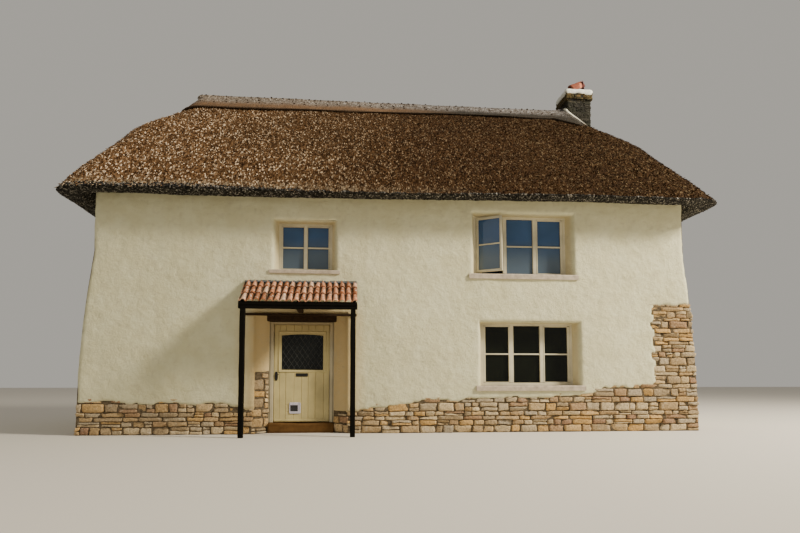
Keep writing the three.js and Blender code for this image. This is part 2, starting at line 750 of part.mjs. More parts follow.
function lightEdges({ width, lights }) {
  const { border, mullion } = WINDOW_FRAME;
  const clear = (width - 2 * border - (lights - 1) * mullion) / lights;
  return Array.from({ length: lights }, (_, i) => {
    const left = -width / 2 + border + i * (clear + mullion);
    return [left, left + clear];
  });
}

// The rebate behind the glazed lights; an open first light has none.
function glazedArea(window, openLights) {
  const { border, rebate } = WINDOW_FRAME;
  const edges = lightEdges(window).slice(openLights);
  const left = edges[0][0] - rebate;
  const right = edges[edges.length - 1][1] + rebate;
  return rectangle(left, right, border - rebate, window.height - border + rebate);
}

function windowFrame(window, openLights) {
  const { border, front, back } = WINDOW_FRAME;
  const whole = box(-window.width / 2, window.width / 2, 0, front + back, 0, window.height);
  const lights = lightEdges(window).map(([x0, x1]) =>
    box(x0, x1, -OVERSHOOT, front + back + OVERSHOOT, border, window.height - border),
  );
  const rebate = alongY(glazedArea(window, openLights), front, front + back + OVERSHOOT);
  return cut(whole, ...lights, rebate);
}

function addWindow(name, window, turned = false, openLights = 0) {
  const group = new THREE.Group();
  const y = HALF_DEPTH - WINDOW_RECESS;
  group.position.set(turned ? -window.x : window.x, turned ? y : -y, window.z);
  group.rotation.z = turned ? Math.PI : 0;
  house.add(group);
  place(`${name}_frame`, windowFrame(window, openLights), "paint", group);
  const { front, glass } = WINDOW_FRAME;
  const pane = alongY(glazedArea(window, openLights), front, front + glass);
  place(`${name}_glass`, pane, "glass", group);
  return group;
}

// The left light of the upper right window stands open on its side hinges.
function addOpenCasement(group) {
  const [x0, x1] = lightEdges(UPPER_RIGHT)[0];
  const { border, thickness, glass, play, rebate, open } = CASEMENT;
  const bottom = WINDOW_FRAME.border + play;
  const top = UPPER_RIGHT.height - WINDOW_FRAME.border - play;
  const width = x1 - x0 - 2 * play;
  const hinge = CASEMENT_HINGE;
  const leaf = new THREE.Group();
  leaf.position.set(x0, -hinge.radius, 0);
  leaf.rotation.z = THREE.MathUtils.degToRad(-open);
  group.add(leaf);
  const outside = rectangle(play, play + width, bottom, top);
  const inside = rectangle(play + border, play + width - border, bottom + border, top - border);
  const [seatLeft, seatRight] = [play + border - rebate, play + width - border + rebate];
  const [seatLow, seatHigh] = [bottom + border - rebate, top - border + rebate];
  const seat = rectangle(seatLeft, seatRight, seatLow, seatHigh);
  const pane = rectangle(seatLeft + CUT_GAP, seatRight - CUT_GAP, seatLow + CUT_GAP, seatHigh - CUT_GAP);
  const face = alongY(outside, 0, thickness / 2, [inside]);
  const rear = alongY(outside, thickness / 2, thickness, [seat]);
  const barrels = [hinge.low, hinge.high].map((z) => {
    const strap = box(0, play + border / 2, 0, hinge.strap, z, z + hinge.height);
    return join(upright(hinge.radius, 0, 0, z, z + hinge.height), strap);
  });
  place("open_casement", join(face, rear, ...barrels), "paint", leaf);
  const paneFront = thickness / 2 + CUT_GAP;
  place("open_casement_glass", alongY(pane, paneFront, paneFront + glass), "glass", leaf);
}

function addWindows() {
  place("upper_left_sill", upperLeftSill, "sill");
  place("upper_right_sill", upperRightSill, "sill");
  place("lower_right_sill", lowerRightSill, "sill");
  addWindow("upper_left_window", UPPER_LEFT);
  addOpenCasement(addWindow("upper_right_window", UPPER_RIGHT, false, 1));
  addWindow("lower_right_window", LOWER_RIGHT);
  addWindow("back_upper_window", BACK_UPPER, true);
  addWindow("back_lower_window", BACK_LOWER, true);
}

addWalls();
addFloors();
addRoof();
addChimney();
addDoor();
addPorch();
addWindows();

export default house;
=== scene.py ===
"""The looks of the thatched cottage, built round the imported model. Metres, +Z up, the front faces -Y."""
import itertools
import math

import bmesh
import bpy
import numpy as np
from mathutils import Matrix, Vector


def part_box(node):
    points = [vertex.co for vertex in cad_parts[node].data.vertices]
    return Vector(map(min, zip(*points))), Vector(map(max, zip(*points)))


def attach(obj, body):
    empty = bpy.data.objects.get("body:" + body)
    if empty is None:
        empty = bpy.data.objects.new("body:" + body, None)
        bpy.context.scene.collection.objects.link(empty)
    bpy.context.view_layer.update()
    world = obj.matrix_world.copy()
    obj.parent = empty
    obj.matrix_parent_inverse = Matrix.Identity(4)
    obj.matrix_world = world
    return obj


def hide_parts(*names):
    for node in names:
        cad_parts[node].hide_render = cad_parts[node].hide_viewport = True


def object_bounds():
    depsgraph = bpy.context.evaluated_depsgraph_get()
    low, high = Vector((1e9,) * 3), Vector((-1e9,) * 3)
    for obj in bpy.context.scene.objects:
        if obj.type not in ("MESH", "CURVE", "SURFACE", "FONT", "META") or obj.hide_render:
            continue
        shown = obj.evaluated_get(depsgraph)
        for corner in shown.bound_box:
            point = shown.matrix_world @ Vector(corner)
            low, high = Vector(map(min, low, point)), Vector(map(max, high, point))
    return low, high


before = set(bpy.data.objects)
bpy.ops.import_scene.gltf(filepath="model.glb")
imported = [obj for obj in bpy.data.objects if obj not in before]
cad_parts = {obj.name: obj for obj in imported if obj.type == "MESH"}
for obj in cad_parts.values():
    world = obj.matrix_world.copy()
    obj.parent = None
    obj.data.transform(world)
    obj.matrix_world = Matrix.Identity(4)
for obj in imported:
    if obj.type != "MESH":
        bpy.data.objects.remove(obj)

cad_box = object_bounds()

# Walls
HALF_LENGTH, HALF_DEPTH, WALL_HEAD = 5.71, 2.70, 4.60
BATTER = {"foot": 0.22, "top": 3.4, "power": 2.2}
COAT = 0.024  # thickness of the limewashed render
CORNER_RADIUS, MOUTH_RADIUS = 0.09, 0.055
WINDOW_SPLAY = 0.064
DOOR_X = -1.91
DOOR_MOUTH, DOOR_MOUTH_TOP = 0.901, 2.262  # half the width of the door's recess at the wall's face, and its top
DOOR_BARE = {"left": 1.12, "right": 0.38}  # how high the stones of the doorway's sides are bare
QUOIN_TOP = 2.5
# Where the render ends above the stone foot of each wall, and the bare stone corners: from, to, up to
STONE_FOOT = {
    "front": ((-5.8, 0.60), (-3.4, 0.55), (-2.9, 0.45), (-1.0, 0.40), (0.4, 0.58), (3.5, 0.70), (4.0, 0.85),
              (6, 0.88)),
    "right": ((-2.8, 0.90), (0.0, 0.72), (2.8, 0.80)),
    "back": ((-6, 0.80), (-1.5, 0.62), (2.5, 0.70), (6, 0.60)),
    "left": ((-2.8, 0.62), (0.5, 0.74), (2.8, 0.60)),
}
QUOINS = {"front": ((5.04, 6.2, QUOIN_TOP),), "right": ((-3.0, -1.95, QUOIN_TOP), (2.2, 3.0, 1.7)),
          "back": ((-6.2, -5.2, 1.7),), "left": ()}

# Roof
EAVES = {"half_length": 6.38, "half_depth": 3.26, "z": 4.46}
RIDGE = {"half_length": 4.45, "half_depth": 0.06, "z": 7.60}
RISE = RIDGE["z"] - EAVES["z"]
HIP_BULGE, SLOPE_BULGE, HIP_RADIUS = 0.25, 0.15, 0.55
HIP_CREST = {"at": 0.60, "spread": 0.13, "out": 0.16}  # the hips are fullest a little above the middle
EAVES_RISE = ((-6.4, 0.030), (0.0, 0.035), (2.5, 0.065), (4.0, 0.090), (6.4, 0.100))  # along x
CAP_RISE = ((-4.6, 0.07), (-3.7, 0.07), (0.2, 0.20), (2.5, 0.245), (3.9, 0.26), (4.2, 0.08), (4.55, -0.10))
RIDGE_END = {"x": 4.33, "z": 7.66, "fall": 0.98}  # the line down which the thatch drops past the chimney
FILLET = {"x": 4.20, "z": 7.655, "fall": 0.70, "middle": 0.12}  # the line of mortar along the chimney's front
CAP_BOTTOM, CAP_OUT = 7.095, 0.085  # the straw ridge's lower edge, and how far it stands out from the thatch
CAP_COLUMNS = 300  # along its front
STACK = {"left": 4.325, "right": 4.90, "front": -0.25, "back": 0.37}
STACK_HEAD = {"out": 0.042, "bottom": 7.88, "top": 8.07}
INSIDE = 0.002  # the thatch stays this far inside the CAD model's box

# Windows, door and porch
BORDER, MULLION, RAIL = 0.055, 0.070, 0.046
CASEMENT = {"border": 0.047, "turn": -34.0}
PLANKS = (0.0, 0.107, 0.225, 0.381, 0.528, 0.655, 0.791, 0.948, 1.06)
PLANK_GAP = 0.0015
PANE_LAP = 0.010
FLAP_GAP, SLEEVE = 0.005, 0.011
LEADS = {"x": 0.105, "z": 0.150, "width": 0.0028, "out": 0.004}
TILES, TILE_COURSES, TILE_LAP, PAN = 18, 3, 0.07, 0.30

# Camera: a lens of 600 px for a picture 800 px wide
CAMERA = {"place": (-1.072, -14.134, 1.022), "yaw": 5.197, "pitch": 4.0, "shift": 0.0882}

rng = np.random.default_rng(7)


# Pieces from arrays

def piece(name, points, faces, material, slot, body="building", replaces=None, smooth=True, outward=False,
          **values):
    """Adds a piece that moves with a body and may stand for a CAD node. Each array in faces holds faces with the
    same number of corners, outward turns closed shells the right way out, and values gives the material numbers
    for each point."""
    points = np.asarray(points, np.float32).reshape(-1, 3)
    sets = [np.asarray(part, np.int32) for part in faces if len(part)]
    loops = np.concatenate([part.ravel() for part in sets])
    sizes = np.concatenate([np.full(len(part), part.shape[1]) for part in sets])
    mesh = bpy.data.meshes.new(name)
    mesh.vertices.add(len(points))
    mesh.vertices.foreach_set("co", points.ravel())
    mesh.loops.add(len(loops))
    mesh.loops.foreach_set("vertex_index", loops)
    mesh.polygons.add(len(sizes))
    mesh.polygons.foreach_set("loop_start", np.concatenate([[0], np.cumsum(sizes)[:-1]]).astype(np.int32))
    mesh.update(calc_edges=True)
    mesh.validate()
    if outward:
        work = bmesh.new()
        work.from_mesh(mesh)
        bmesh.ops.recalc_face_normals(work, faces=work.faces)
        work.to_mesh(mesh)
        work.free()
    for key, numbers in values.items():
        layer = mesh.attributes.new(key, "FLOAT", "POINT")
        layer.data.foreach_set("value", np.asarray(numbers, np.float32).ravel())
    mesh.materials.append(material)
    mesh.polygons.foreach_set("use_smooth", np.full(len(mesh.polygons), smooth))
    made = bpy.data.objects.new(name, mesh)
    bpy.context.scene.collection.objects.link(made)
    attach(made, body)
    if replaces:
        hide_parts(replaces)
    return made


def finish_node(node, material):
    """Gives a CAD node its finish."""
    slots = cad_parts[node].data.materials
    slots.clear()
    slots.append(material)


def box_of(node):
    """The lowest and highest corner of a CAD node, as arrays."""
    return (np.array(corner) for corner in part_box(node))


def grid_faces(rows, columns, closed=False, first=0):
    """Quads over a grid of points stored row by row; closed joins the last column to the first."""
    row = np.arange(rows - 1)[:, None] * columns
    across = np.arange(columns if closed else columns - 1)
    following = (across + 1) % columns
    corners = [row + across, row + following, row + columns + following, row + columns + across]
    return np.stack(corners, axis=-1).reshape(-1, 4) + first


def tube_faces(rows, columns):
    """Faces of a tube stored ring by ring, with both ends closed."""
    ring = np.arange(columns)[None]
    return [grid_faces(rows, columns, closed=True), ring[:, ::-1], ring + (rows - 1) * columns]


def tile_faces(rows, columns, first):
    """Quads of a tile, whose rows go along its upper skin and back along its lower one."""
    i = np.arange(columns // 2 - 1)
    end = first + np.stack([i, i + 1, columns - 2 - i, columns - 1 - i], axis=-1)
    sides = grid_faces(rows, columns, closed=True, first=first)
    return np.concatenate([sides, end, (end + (rows - 1) * columns)[:, ::-1]])


def noise(points, size, seed=0):
    """Smooth numbers from -1 to 1 in lumps about size across."""
    cells = np.asarray(points, float) / size + seed * 31.7
    base = np.floor(cells)
    share = cells - base
    share = share * share * (3 - 2 * share)
    key = base.astype(np.int64)
    total = np.zeros(cells.shape[:-1])
    for corner in itertools.product((0, 1), repeat=3):
        x, y, z = (key[..., axis] + corner[axis] for axis in range(3))
        mixed = (x * 73856093) ^ (y * 19349663) ^ (z * 83492791)
        mixed = (mixed ^ (mixed >> 13)) * 1274126177 & 0x7FFFFFFF
        weight = np.ones_like(total)
        for axis in range(3):
            weight *= share[..., axis] if corner[axis] else 1 - share[..., axis]
        total += weight * (mixed % 100003) / 100003
    return total * 2 - 1


def grid_normals(points):
    """Unit normals of a (rows, columns, 3) grid, along columns x rows."""
    normals = np.cross(np.gradient(points, axis=1), np.gradient(points, axis=0))
    return normals / np.maximum(np.linalg.norm(normals, axis=-1, keepdims=True), 1e-9)


def ring_normals(points):
    """Unit normals of a grid whose last column joins its first."""
    return grid_normals(np.concatenate([points[:, -1:], points, points[:, :1]], axis=1))[:, 1:-1]


def smoothstep(low, high, value):
    share = np.clip((value - low) / (high - low), 0, 1)
    return share * share * (3 - 2 * share)


def lines(low, high, step, stops=()):
    """Sorted places from low to high, no further apart than step, that include the stops."""
    marks = sorted({low, high, *(stop for stop in stops if low < stop < high)})
    places = [np.array([low])]
    for start, end in zip(marks, marks[1:]):
        places.append(np.linspace(start, end, max(1, math.ceil((end - start) / step)) + 1)[1:])
    return np.concatenate(places)


def upright(rows):
    """Rings of points from loops of (x, z), each with its y."""
    return np.array([np.column_stack([loop[:, 0], np.full(len(loop), y), loop[:, 1]]) for loop, y in rows])


def rounded_loop(left, right, low, high, corner, count=6):
    """Points anticlockwise round an upright rectangle with rounded corners, as (x, z)."""
    centres = ((right, high), (left, high), (left, low), (right, low))
    signs = ((-1, -1), (1, -1), (1, 1), (-1, 1))
    return np.array([(x + sx * corner + corner * math.cos(angle), z + sz * corner + corner * math.sin(angle))
                     for turn, ((x, z), (sx, sz)) in enumerate(zip(centres, signs))
                     for angle in np.radians(np.linspace(0, 90, count) + 90 * turn)])


def chamfered_bar():
    """Corner signs and faces of a box with its edges and corners cut off. Each corner has a point on each face."""
    signs = list(itertools.product((-1, 1), repeat=3))
    quads = []
    for axis in range(3):
        b, c = (axis + 1) % 3, (axis + 2) % 3

        def point(side, sb, sc, face):
            sign = [0, 0, 0]
            sign[axis], sign[b], sign[c] = side, sb, sc
            return 3 * signs.index(tuple(sign)) + face

        for side in (-1, 1):
            quads.append([point(side, sb, sc, axis) for sb, sc in ((-1, -1), (1, -1), (1, 1), (-1, 1))][::side])
        for sb, sc in itertools.product((-1, 1), repeat=2):
            ends = ((-1, b), (1, b), (1, c), (-1, c))
            quads.append([point(side, sb, sc, face) for side, face in ends][::-sb * sc])
    tris = [[3 * i, 3 * i + 1, 3 * i + 2][::x * y * z] for i, (x, y, z) in enumerate(signs)]
    return np.array(signs), np.array(quads), np.array(tris)


BAR_SIGNS, BAR_QUADS, BAR_TRIS = chamfered_bar()


def bars_shape(bars, chamfer):
    """Points and faces of chamfered bars, each given by two opposite corners."""
    low, high = np.sort(np.array(bars, float), axis=1).transpose(1, 0, 2)
    middle, half = (low + high) / 2, (high - low) / 2
    cut = np.minimum(chamfer, half * 0.45)
    inset = half[:, None] - cut[:, None] * (1 - np.eye(3))
    points = middle[:, None, None] + BAR_SIGNS[:, None] * inset[:, None]
    starts = np.arange(len(bars))[:, None, None] * 24
    return points.reshape(-1, 3), [(BAR_QUADS + starts).reshape(-1, 4), (BAR_TRIS + starts).reshape(-1, 3)]


# Stones

def rounded_block():
    """A unit block with soft edges, open at the back (+y), as points and quads."""
    across, deep = np.array([-1, -0.75, -0.25, 0.25, 0.75, 1]), np.array([-1, -0.6, 1])
    points, faces = [], []
    for axis, side in ((1, -1), (0, -1), (0, 1), (2, -1), (2, 1)):
        b, c = [a for a in range(3) if a != axis]
        marks = [deep if a == 1 else across for a in (b, c)]
        grid = np.zeros((len(marks[0]), len(marks[1]), 3))
        grid[..., axis] = side
        grid[..., b], grid[..., c] = np.meshgrid(*marks, indexing="ij")
        quads = grid_faces(*grid.shape[:2], first=sum(map(len, points)))
        faces.append(quads if (axis == 1) == (side > 0) else quads[:, ::-1])
        points.append(grid.reshape(-1, 3))
    keys, index = np.unique(np.concatenate(points).round(4), axis=0, return_inverse=True)
    reach = (np.abs(keys) ** 12).sum(axis=1) ** (1 / 12)
    return keys / reach[:, None], index.ravel()[np.concatenate(faces)]


BLOCK_POINTS, BLOCK_FACES = rounded_block()


def stones(name, found, place, seed, material, rough=0.010, outward=False):
    """A piece of irregular stones from their centres and half sizes; place turns wall coordinates (along, in, up)
    into the cottage's."""
    centres, halves = np.array(found).transpose(1, 0, 2)
    generator = np.random.default_rng(seed)
    count, step = len(found), len(BLOCK_POINTS)
    shape = np.repeat(BLOCK_POINTS[None], count, axis=0)
    x, z = shape[..., 0].copy(), shape[..., 2].copy()
    for corner_x, corner_z in itertools.product((-1, 1), repeat=2):
        pull = generator.uniform(0, 0.30, (count, 2)) ** 1.3
        weight = (1 + corner_x * x) * (1 + corner_z * z) / 4
        shape[..., 0] -= corner_x * pull[:, :1] * weight * np.minimum(1, halves[:, 2:] / halves[:, :1])
        shape[..., 2] -= corner_z * pull[:, 1:] * weight
    shape[..., 1] += 0.10 * generator.normal(0, 1, (count, 1)) * x + 0.08 * generator.normal(0, 1, (count, 1)) * z
    points = centres[:, None] + shape * halves[:, None]
    front = (shape[..., 1] < 0.5)[..., None]
    lumps = np.stack([noise(points, size, seed + axis) for axis, size in enumerate((0.06, 0.07, 0.05))], axis=-1)
    fine = np.stack([noise(points, 0.028, seed + 5 + axis) for axis in range(3)], axis=-1)
    points = place(points + front * (lumps * rough + fine * rough * 0.45))
    points[..., 2] = np.maximum(points[..., 2], 0)
    faces = (BLOCK_FACES[None] + np.arange(count)[:, None, None] * step).reshape(-1, 4)
    piece(name, points, [faces], material, "stone", outward=outward, tint=np.repeat(generator.random(count), step))


def courses(width, height, generator, stone=(0.13, 0.42), course=(0.055, 0.17), joint=0.008):
    """Centres and half sizes of stones laid in uneven courses over a width and height, from (0, 0)."""
    low = 0
    while low < height:
        rise = generator.uniform(*course)
        left = -generator.uniform(0, stone[1])
        while left < width:
            length = generator.uniform(*stone) * (1.3 if rise < 0.08 else 1)
            spans = ((rise / 2, rise),)
            if rise > 0.085 and generator.random() < 0.28:
                split = rise * generator.uniform(0.42, 0.58)
                spans = ((split / 2, split), ((rise + split) / 2, rise - split))
            for middle, size in spans:
                yield left + length / 2, low + middle, length / 2 - joint / 2, size / 2 - joint / 2
            left += length
        low += rise


# Materials

ROUGH = 0.85  # from this roughness on a surface has next to no shine


def scaled(colour, factor):
    return tuple(min(1, factor * c) for c in colour)


class Look:
    """A principled material, with short ways to add procedural nodes. tone is its colour as built up so far."""

    def __init__(self, name, colour, roughness, **sockets):
        self.material = bpy.data.materials.new(name)
        self.material.use_nodes = True
        self.tree = self.material.node_tree
        self.shader = self.tree.nodes["Principled BSDF"]
        sockets.update(Base_Color=colour, Roughness=roughness)
        if roughness >= ROUGH:
            sockets["Specular_IOR_Level"] = 0.1
        for socket, value in sockets.items():
            self.plug(self.shader.inputs[socket.replace("_", " ")], value)
        self.place = self.node("TexCoord", "Object", {})

    def plug(self, socket, value):
        if isinstance(value, bpy.types.NodeSocket):
            self.tree.links.new(value, socket)
        elif hasattr(socket.default_value, "__len__") and len(socket.default_value) == 4:
            socket.default_value = (*value[:3], 1)
        else:
            socket.default_value = value

    def node(self, kind, output, inputs, **settings):
        """Adds a node with its settings and inputs, and gives one of its outputs."""
        made = self.tree.nodes.new("ShaderNode" + kind)
        for key, value in settings.items():
            setattr(made, key, value)
        for key, value in inputs.items():
            self.plug(made.inputs[key], value)
        return made.outputs[output]

    def stretched(self, x=1.0, y=1.0, z=1.0):
        return self.node("Mapping", "Vector", {"Vector": self.place, "Scale": (x, y, z)})

    def noise(self, size, detail=4.0, rough=0.55, place=None):
        return self.node("TexNoise", "Fac", {"Vector": place or self.place, "Scale": 1 / size, "Detail": detail,
                                             "Roughness": rough})

    def cells(self, size, output, place):
        return self.node("TexVoronoi", output, {"Vector": place, "Scale": 1 / size})

    def value(self, name):
        return self.node("Attribute", "Fac", {}, attribute_name=name)

    def axis(self, name):
        return self.node("SeparateXYZ", name, {"Vector": self.place})

    def maths(self, operation, a, b):
        return self.node("Math", "Value", {0: a, 1: b}, operation=operation)

    def away(self, axis, middle=0.0):
        """Distance along an axis from a middle."""
        return self.maths("ABSOLUTE", self.maths("SUBTRACT", self.axis(axis), middle), 0.0)

    def stirred(self, value, amount, *noise):
        """A value with noise added to it."""
        return self.maths("ADD", value, self.maths("MULTIPLY", self.noise(*noise), amount))

    def share(self, value, low, high):
        """0 where a value is at low, 1 at high."""
        return self.node("MapRange", "Result", {"Value": value, "From Min": low, "From Max": high})

    def ramp(self, value, *stops):
        """A colour for a value, through (place, colour) stops; a number is a grey."""
        colour = self.node("ValToRGB", "Color", {"Fac": value})
        elements = colour.node.color_ramp.elements
        while len(elements) < len(stops):
            elements.new(0.5)
        for element, (element.position, tone) in zip(elements, stops):
            element.color = (*np.broadcast_to(tone, 3), 1)
        return colour

    def mix(self, share, a, b, blend="MIX"):
        return self.node("Mix", 2, {0: share, 6: a, 7: b}, data_type="RGBA", blend_type=blend)

    def times(self, colour):
        """Multiplies the tone by a colour."""
        self.tone = self.mix(1.0, self.tone, colour, "MULTIPLY")

    def over(self, colour, share, *factors):
        """Lays a colour over the tone, as far as the product of share and factors goes."""
        for factor in factors:
            share = self.maths("MULTIPLY", share, factor)
        self.tone = self.mix(share, self.tone, colour)

    def spots(self, colour, amount, low, high, *noise):
        """Lays a colour over the tone by an amount, in spots where a noise goes from low to high."""
        self.over(colour, self.share(self.noise(*noise), low, high), amount)

    def finish(self, *heights):
        """Plugs in the tone and bumps, each a (height, strength, distance), and gives the material."""
        self.plug(self.shader.inputs["Base Color"], self.tone)
        normal = {}
        for height, strength, distance in heights:
            inputs = {"Strength": strength, "Distance": distance, "Height": height, **normal}
            normal = {"Normal": self.node("Bump", "Normal", inputs)}
        self.plug(self.shader.inputs["Normal"], normal["Normal"])
        return self.material


def limewash():
    look = Look("limewash", (0.74, 0.66, 0.45), 0.92)
    tone = look.ramp(look.noise(1.6, 3), (0.3, (0.625, 0.600, 0.385)), (0.7, (0.71, 0.69, 0.465)))
    patches = look.ramp(look.noise(0.35, 5, 0.65), (0.42, (0.59, 0.54, 0.33)), (0.62, (0.72, 0.695, 0.48)))
    look.tone = look.mix(0.35, tone, patches)
    # Painted shade, darker and warmer, under the porch and inside the windows' reveals
    look.over((0.50, 0.34, 0.14), look.share(look.away("X", DOOR_X), 1.25, 0.85),
              look.share(look.axis("Z"), 2.60, 2.20), look.share(look.axis("Y"), -2.0, -2.3), 0.80)
    look.over((0.60, 0.46, 0.24), look.share(look.away("Y"), 2.68, 2.60),
              look.share(look.away("X"), 5.4, 5.3), 0.45)
    look.spots((0.46, 0.41, 0.29), 0.22, 0.60, 0.78, 0.22, 4, 0.6, look.stretched(1, 1, 0.12))
    # Painted shade in the pits of the render, where relief is low
    look.over((0.46, 0.41, 0.28), look.share(look.value("relief"), -0.2, -0.9), 0.35)
    look.over((0.38, 0.34, 0.22), look.share(look.stirred(look.axis("Z"), 0.8, 0.4), 1.15, 0.45), 0.4)
    return look.finish((look.noise(0.11, 4, 0.6), 0.7, 0.026), (look.noise(0.045, 6, 0.75), 0.7, 0.018),
                       (look.noise(0.014, 4, 0.7), 0.6, 0.006))


def rubble_stone(*tones):
    look = Look("rubble", tones[1], 0.9)
    look.tone = look.ramp(look.value("tint"), *((i / (len(tones) - 1), tone) for i, tone in enumerate(tones)))
    look.times(look.ramp(look.noise(0.03, 6, 0.7), (0.35, 0.55), (0.65, (1.25, 1.22, 1.18))))
    look.spots((0.50, 0.44, 0.34), 0.45, 0.58, 0.75, 0.12, 4, 0.6)
    return look.finish((look.noise(0.035, 6, 0.7), 0.9, 0.016), (look.noise(0.008, 3), 0.5, 0.004))


def chimney_stone():
    """Dark weathered stone with specks of pale lichen, and a band of yellow lichen under the cap."""
    look = Look("chimney_rubble", (0.03, 0.03, 0.026), 0.95)
    look.tone = look.ramp(look.value("tint"), (0.0, (0.014, 0.014, 0.010)), (0.4, (0.024, 0.022, 0.016)),
                          (0.7, (0.034, 0.031, 0.024)), (1.0, (0.022, 0.023, 0.015)))
    look.spots((0.22, 0.21, 0.18), 0.5, 0.56, 0.66, 0.035, 5, 0.75)
    lichen = look.ramp(look.noise(0.055, 5, 0.75), (0.36, (0.020, 0.023, 0.010)), (0.50, (0.080, 0.060, 0.024)),
                       (0.62, (0.13, 0.080, 0.030)), (0.72, (0.19, 0.14, 0.10)))
    look.over(lichen, look.share(look.stirred(look.axis("Z"), 0.25, 0.12, 4), 7.93, 8.06), 0.85)
    return look.finish((look.noise(0.03, 6, 0.7), 0.8, 0.014), (look.noise(0.008, 3), 0.4, 0.003))


def mortar(name, dark, light, faded=None):
    """Rough mortar. faded is its grey where it runs down to the right of the chimney."""
    look = Look(name, light, 0.95)
    look.tone = look.ramp(look.noise(0.06, 5, 0.65), (0.35, dark), (0.65, light))
    if faded:
        look.over(faded, look.share(look.axis("X"), 4.35, 4.80))
    return look.finish((look.noise(0.02, 5, 0.7), 0.8, 0.008))


def thatch_look(name, dark, middle, light, speck, across=False, lie=(1, 0.42, 0.42), foot=None):
    """Old reed: its ends give light specks with dark gaps, partly the reed's own tones and partly painted
    highlights on the tips and painted shade in the gaps. lie stretches them along the reed, across darkens the
    thatch towards the right, and foot is the ridge's own tone low down at the left, which goes into near-black
    painted shade towards the right."""
    look = Look(name, middle, 1.0)
    ends = look.node("SeparateColor", 0, {0: look.cells(0.020, "Color", look.stretched(*lie))})
    # The darkest ends paint shade in the gaps and the palest paint highlights on the tips, over the reed's own
    # tones
    look.tone = look.ramp(ends, (0.0, dark), (0.38, middle), (0.84, light), (0.96, speck))
    look.times(look.ramp(look.noise(1.4, 3), (0.3, (0.84, 0.82, 0.78)), (0.7, (1.12, 1.10, 1.06))))
    if across:
        place = look.share(look.stirred(look.axis("X"), 1.0, 2.5, 2), -5.0, 4.5)
        look.over(middle, look.share(place, 0.25, 0.80), 0.50)
        look.times(look.ramp(place, (0.0, (1.95, 1.98, 2.04)), (0.35, (1.22, 1.22, 1.20)),
                             (0.60, (0.65, 0.61, 0.54)), (1.0, (0.43, 0.40, 0.31))))
        # Clean straw low down at the left
        look.over((0.36, 0.29, 0.19), look.share(look.axis("Z"), 4.70, 4.56),
                  look.share(ends.node.outputs[1], 0.45, 0.75), look.share(place, 0.75, 0.1))
    if foot:
        along = look.share(look.axis("X"), -4.0, 4.0)
        look.times(look.ramp(along, (0.0, (1.08, 1.04, 1.0)), (0.7, (0.60, 0.64, 0.73))))
        # Low on the ridge its own brown at the left gives way to near-black painted shade towards the right
        low = look.ramp(along, (0.0, foot), (0.45, foot), (0.7, (0.018, 0.016, 0.011)))
        look.over(low, look.share(look.stirred(look.value("tint"), 0.5, 0.30, 5, 0.7), 0.42, 0.90), 0.90)
    # Painted shade where relief is low: in the gaps between the reeds and along the ridge's cut lower edge
    look.over(scaled(dark, 0.5), look.share(look.value("relief"), 0.15, -0.75), 0.7)
    strands = look.noise(0.012, 4, 0.7, look.stretched(*(share * share for share in lie)))
    return look.finish((look.cells(0.022, "Distance", look.stretched(*lie)), 0.9, 0.016), (strands, 0.6, 0.008))


def painted_wood(name, colour, top=None):
    look = Look(name, colour, 0.42, Coat_Weight=0.15)
    look.tone = look.ramp(look.noise(0.5, 4), (0.35, scaled(colour, 0.80)), (0.6, scaled(colour, 1.1)))
    look.spots((0.30, 0.25, 0.16), 0.25, 0.60, 0.80, 0.03, 6, 0.7)
    # Painted shade towards the top, under the porch roof
    if top:
        look.over(top, look.share(look.axis("Z"), 1.55, 2.05), 0.6)
    look.plug(look.shader.inputs["Roughness"], look.share(look.noise(0.2), -0.6, 1.4))
    grain = look.noise(0.006, 3, 0.5, look.stretched(1, 1, 0.06))
    return look.finish((grain, 0.25, 0.0015), (look.noise(0.05, 3), 0.2, 0.002))


def dark_timber(name, *tones):
    look = Look(name, tones[1], 0.85)
    grain, upright_grain = (look.noise(0.010, 5, 0.7, look.stretched(*lie))
                            for lie in ((0.12, 1, 1), (1, 1, 0.10)))
    both = look.maths("MULTIPLY", grain, upright_grain)
    look.tone = look.ramp(both, *zip((0.12, 0.32, 0.6), tones))
    return look.finish((both, 0.7, 0.006), (look.noise(0.06, 4), 0.4, 0.006))


def simple_look(name, colour, roughness, size=0.03, bump=0.3, **sockets):
    look = Look(name, colour, roughness, **sockets)
    look.tone = look.ramp(look.noise(size * 3, 5, 0.65), (0.3, scaled(colour, 0.7)), (0.7, scaled(colour, 1.25)))
    return look.finish((look.noise(size, 4, 0.6), bump, size * 0.12))


def plain_plaster():
    look = Look("inside_plaster", (0.62, 0.58, 0.48), 0.95)
    look.tone = look.ramp(look.noise(0.9), (0.3, (0.56, 0.52, 0.42)), (0.7, (0.66, 0.62, 0.52)))
    return look.finish((look.noise(0.05), 0.4, 0.006))


def roof_tile():
    look = Look("terracotta", (0.50, 0.22, 0.12), 0.85)
    look.tone = look.ramp(look.value("tint"), (0.0, (0.30, 0.115, 0.050)), (0.4, (0.52, 0.215, 0.105)),
                          (0.75, (0.66, 0.31, 0.17)), (1.0, (0.74, 0.50, 0.34)))
    look.times(look.ramp(look.noise(0.05, 5, 0.7), (0.35, 0.55), (0.65, 1.25)))
    look.spots((0.82, 0.76, 0.64), 0.85, 0.56, 0.63, 0.045, 6, 0.7)  # lichen
    # Dark in the pans, partly dirt, and painted shade towards the course above, under its lap
    low = look.share(look.stirred(look.value("relief"), 0.9, 0.05, 5, 0.7), 1.10, 0.70)
    look.over((0.035, 0.024, 0.012), low, 0.9)
    look.spots((0.06, 0.05, 0.025), 0.8, 0.62, 0.70, 0.10, 6, 0.75)  # moss
    return look.finish((look.noise(0.012, 5, 0.7), 0.7, 0.004))


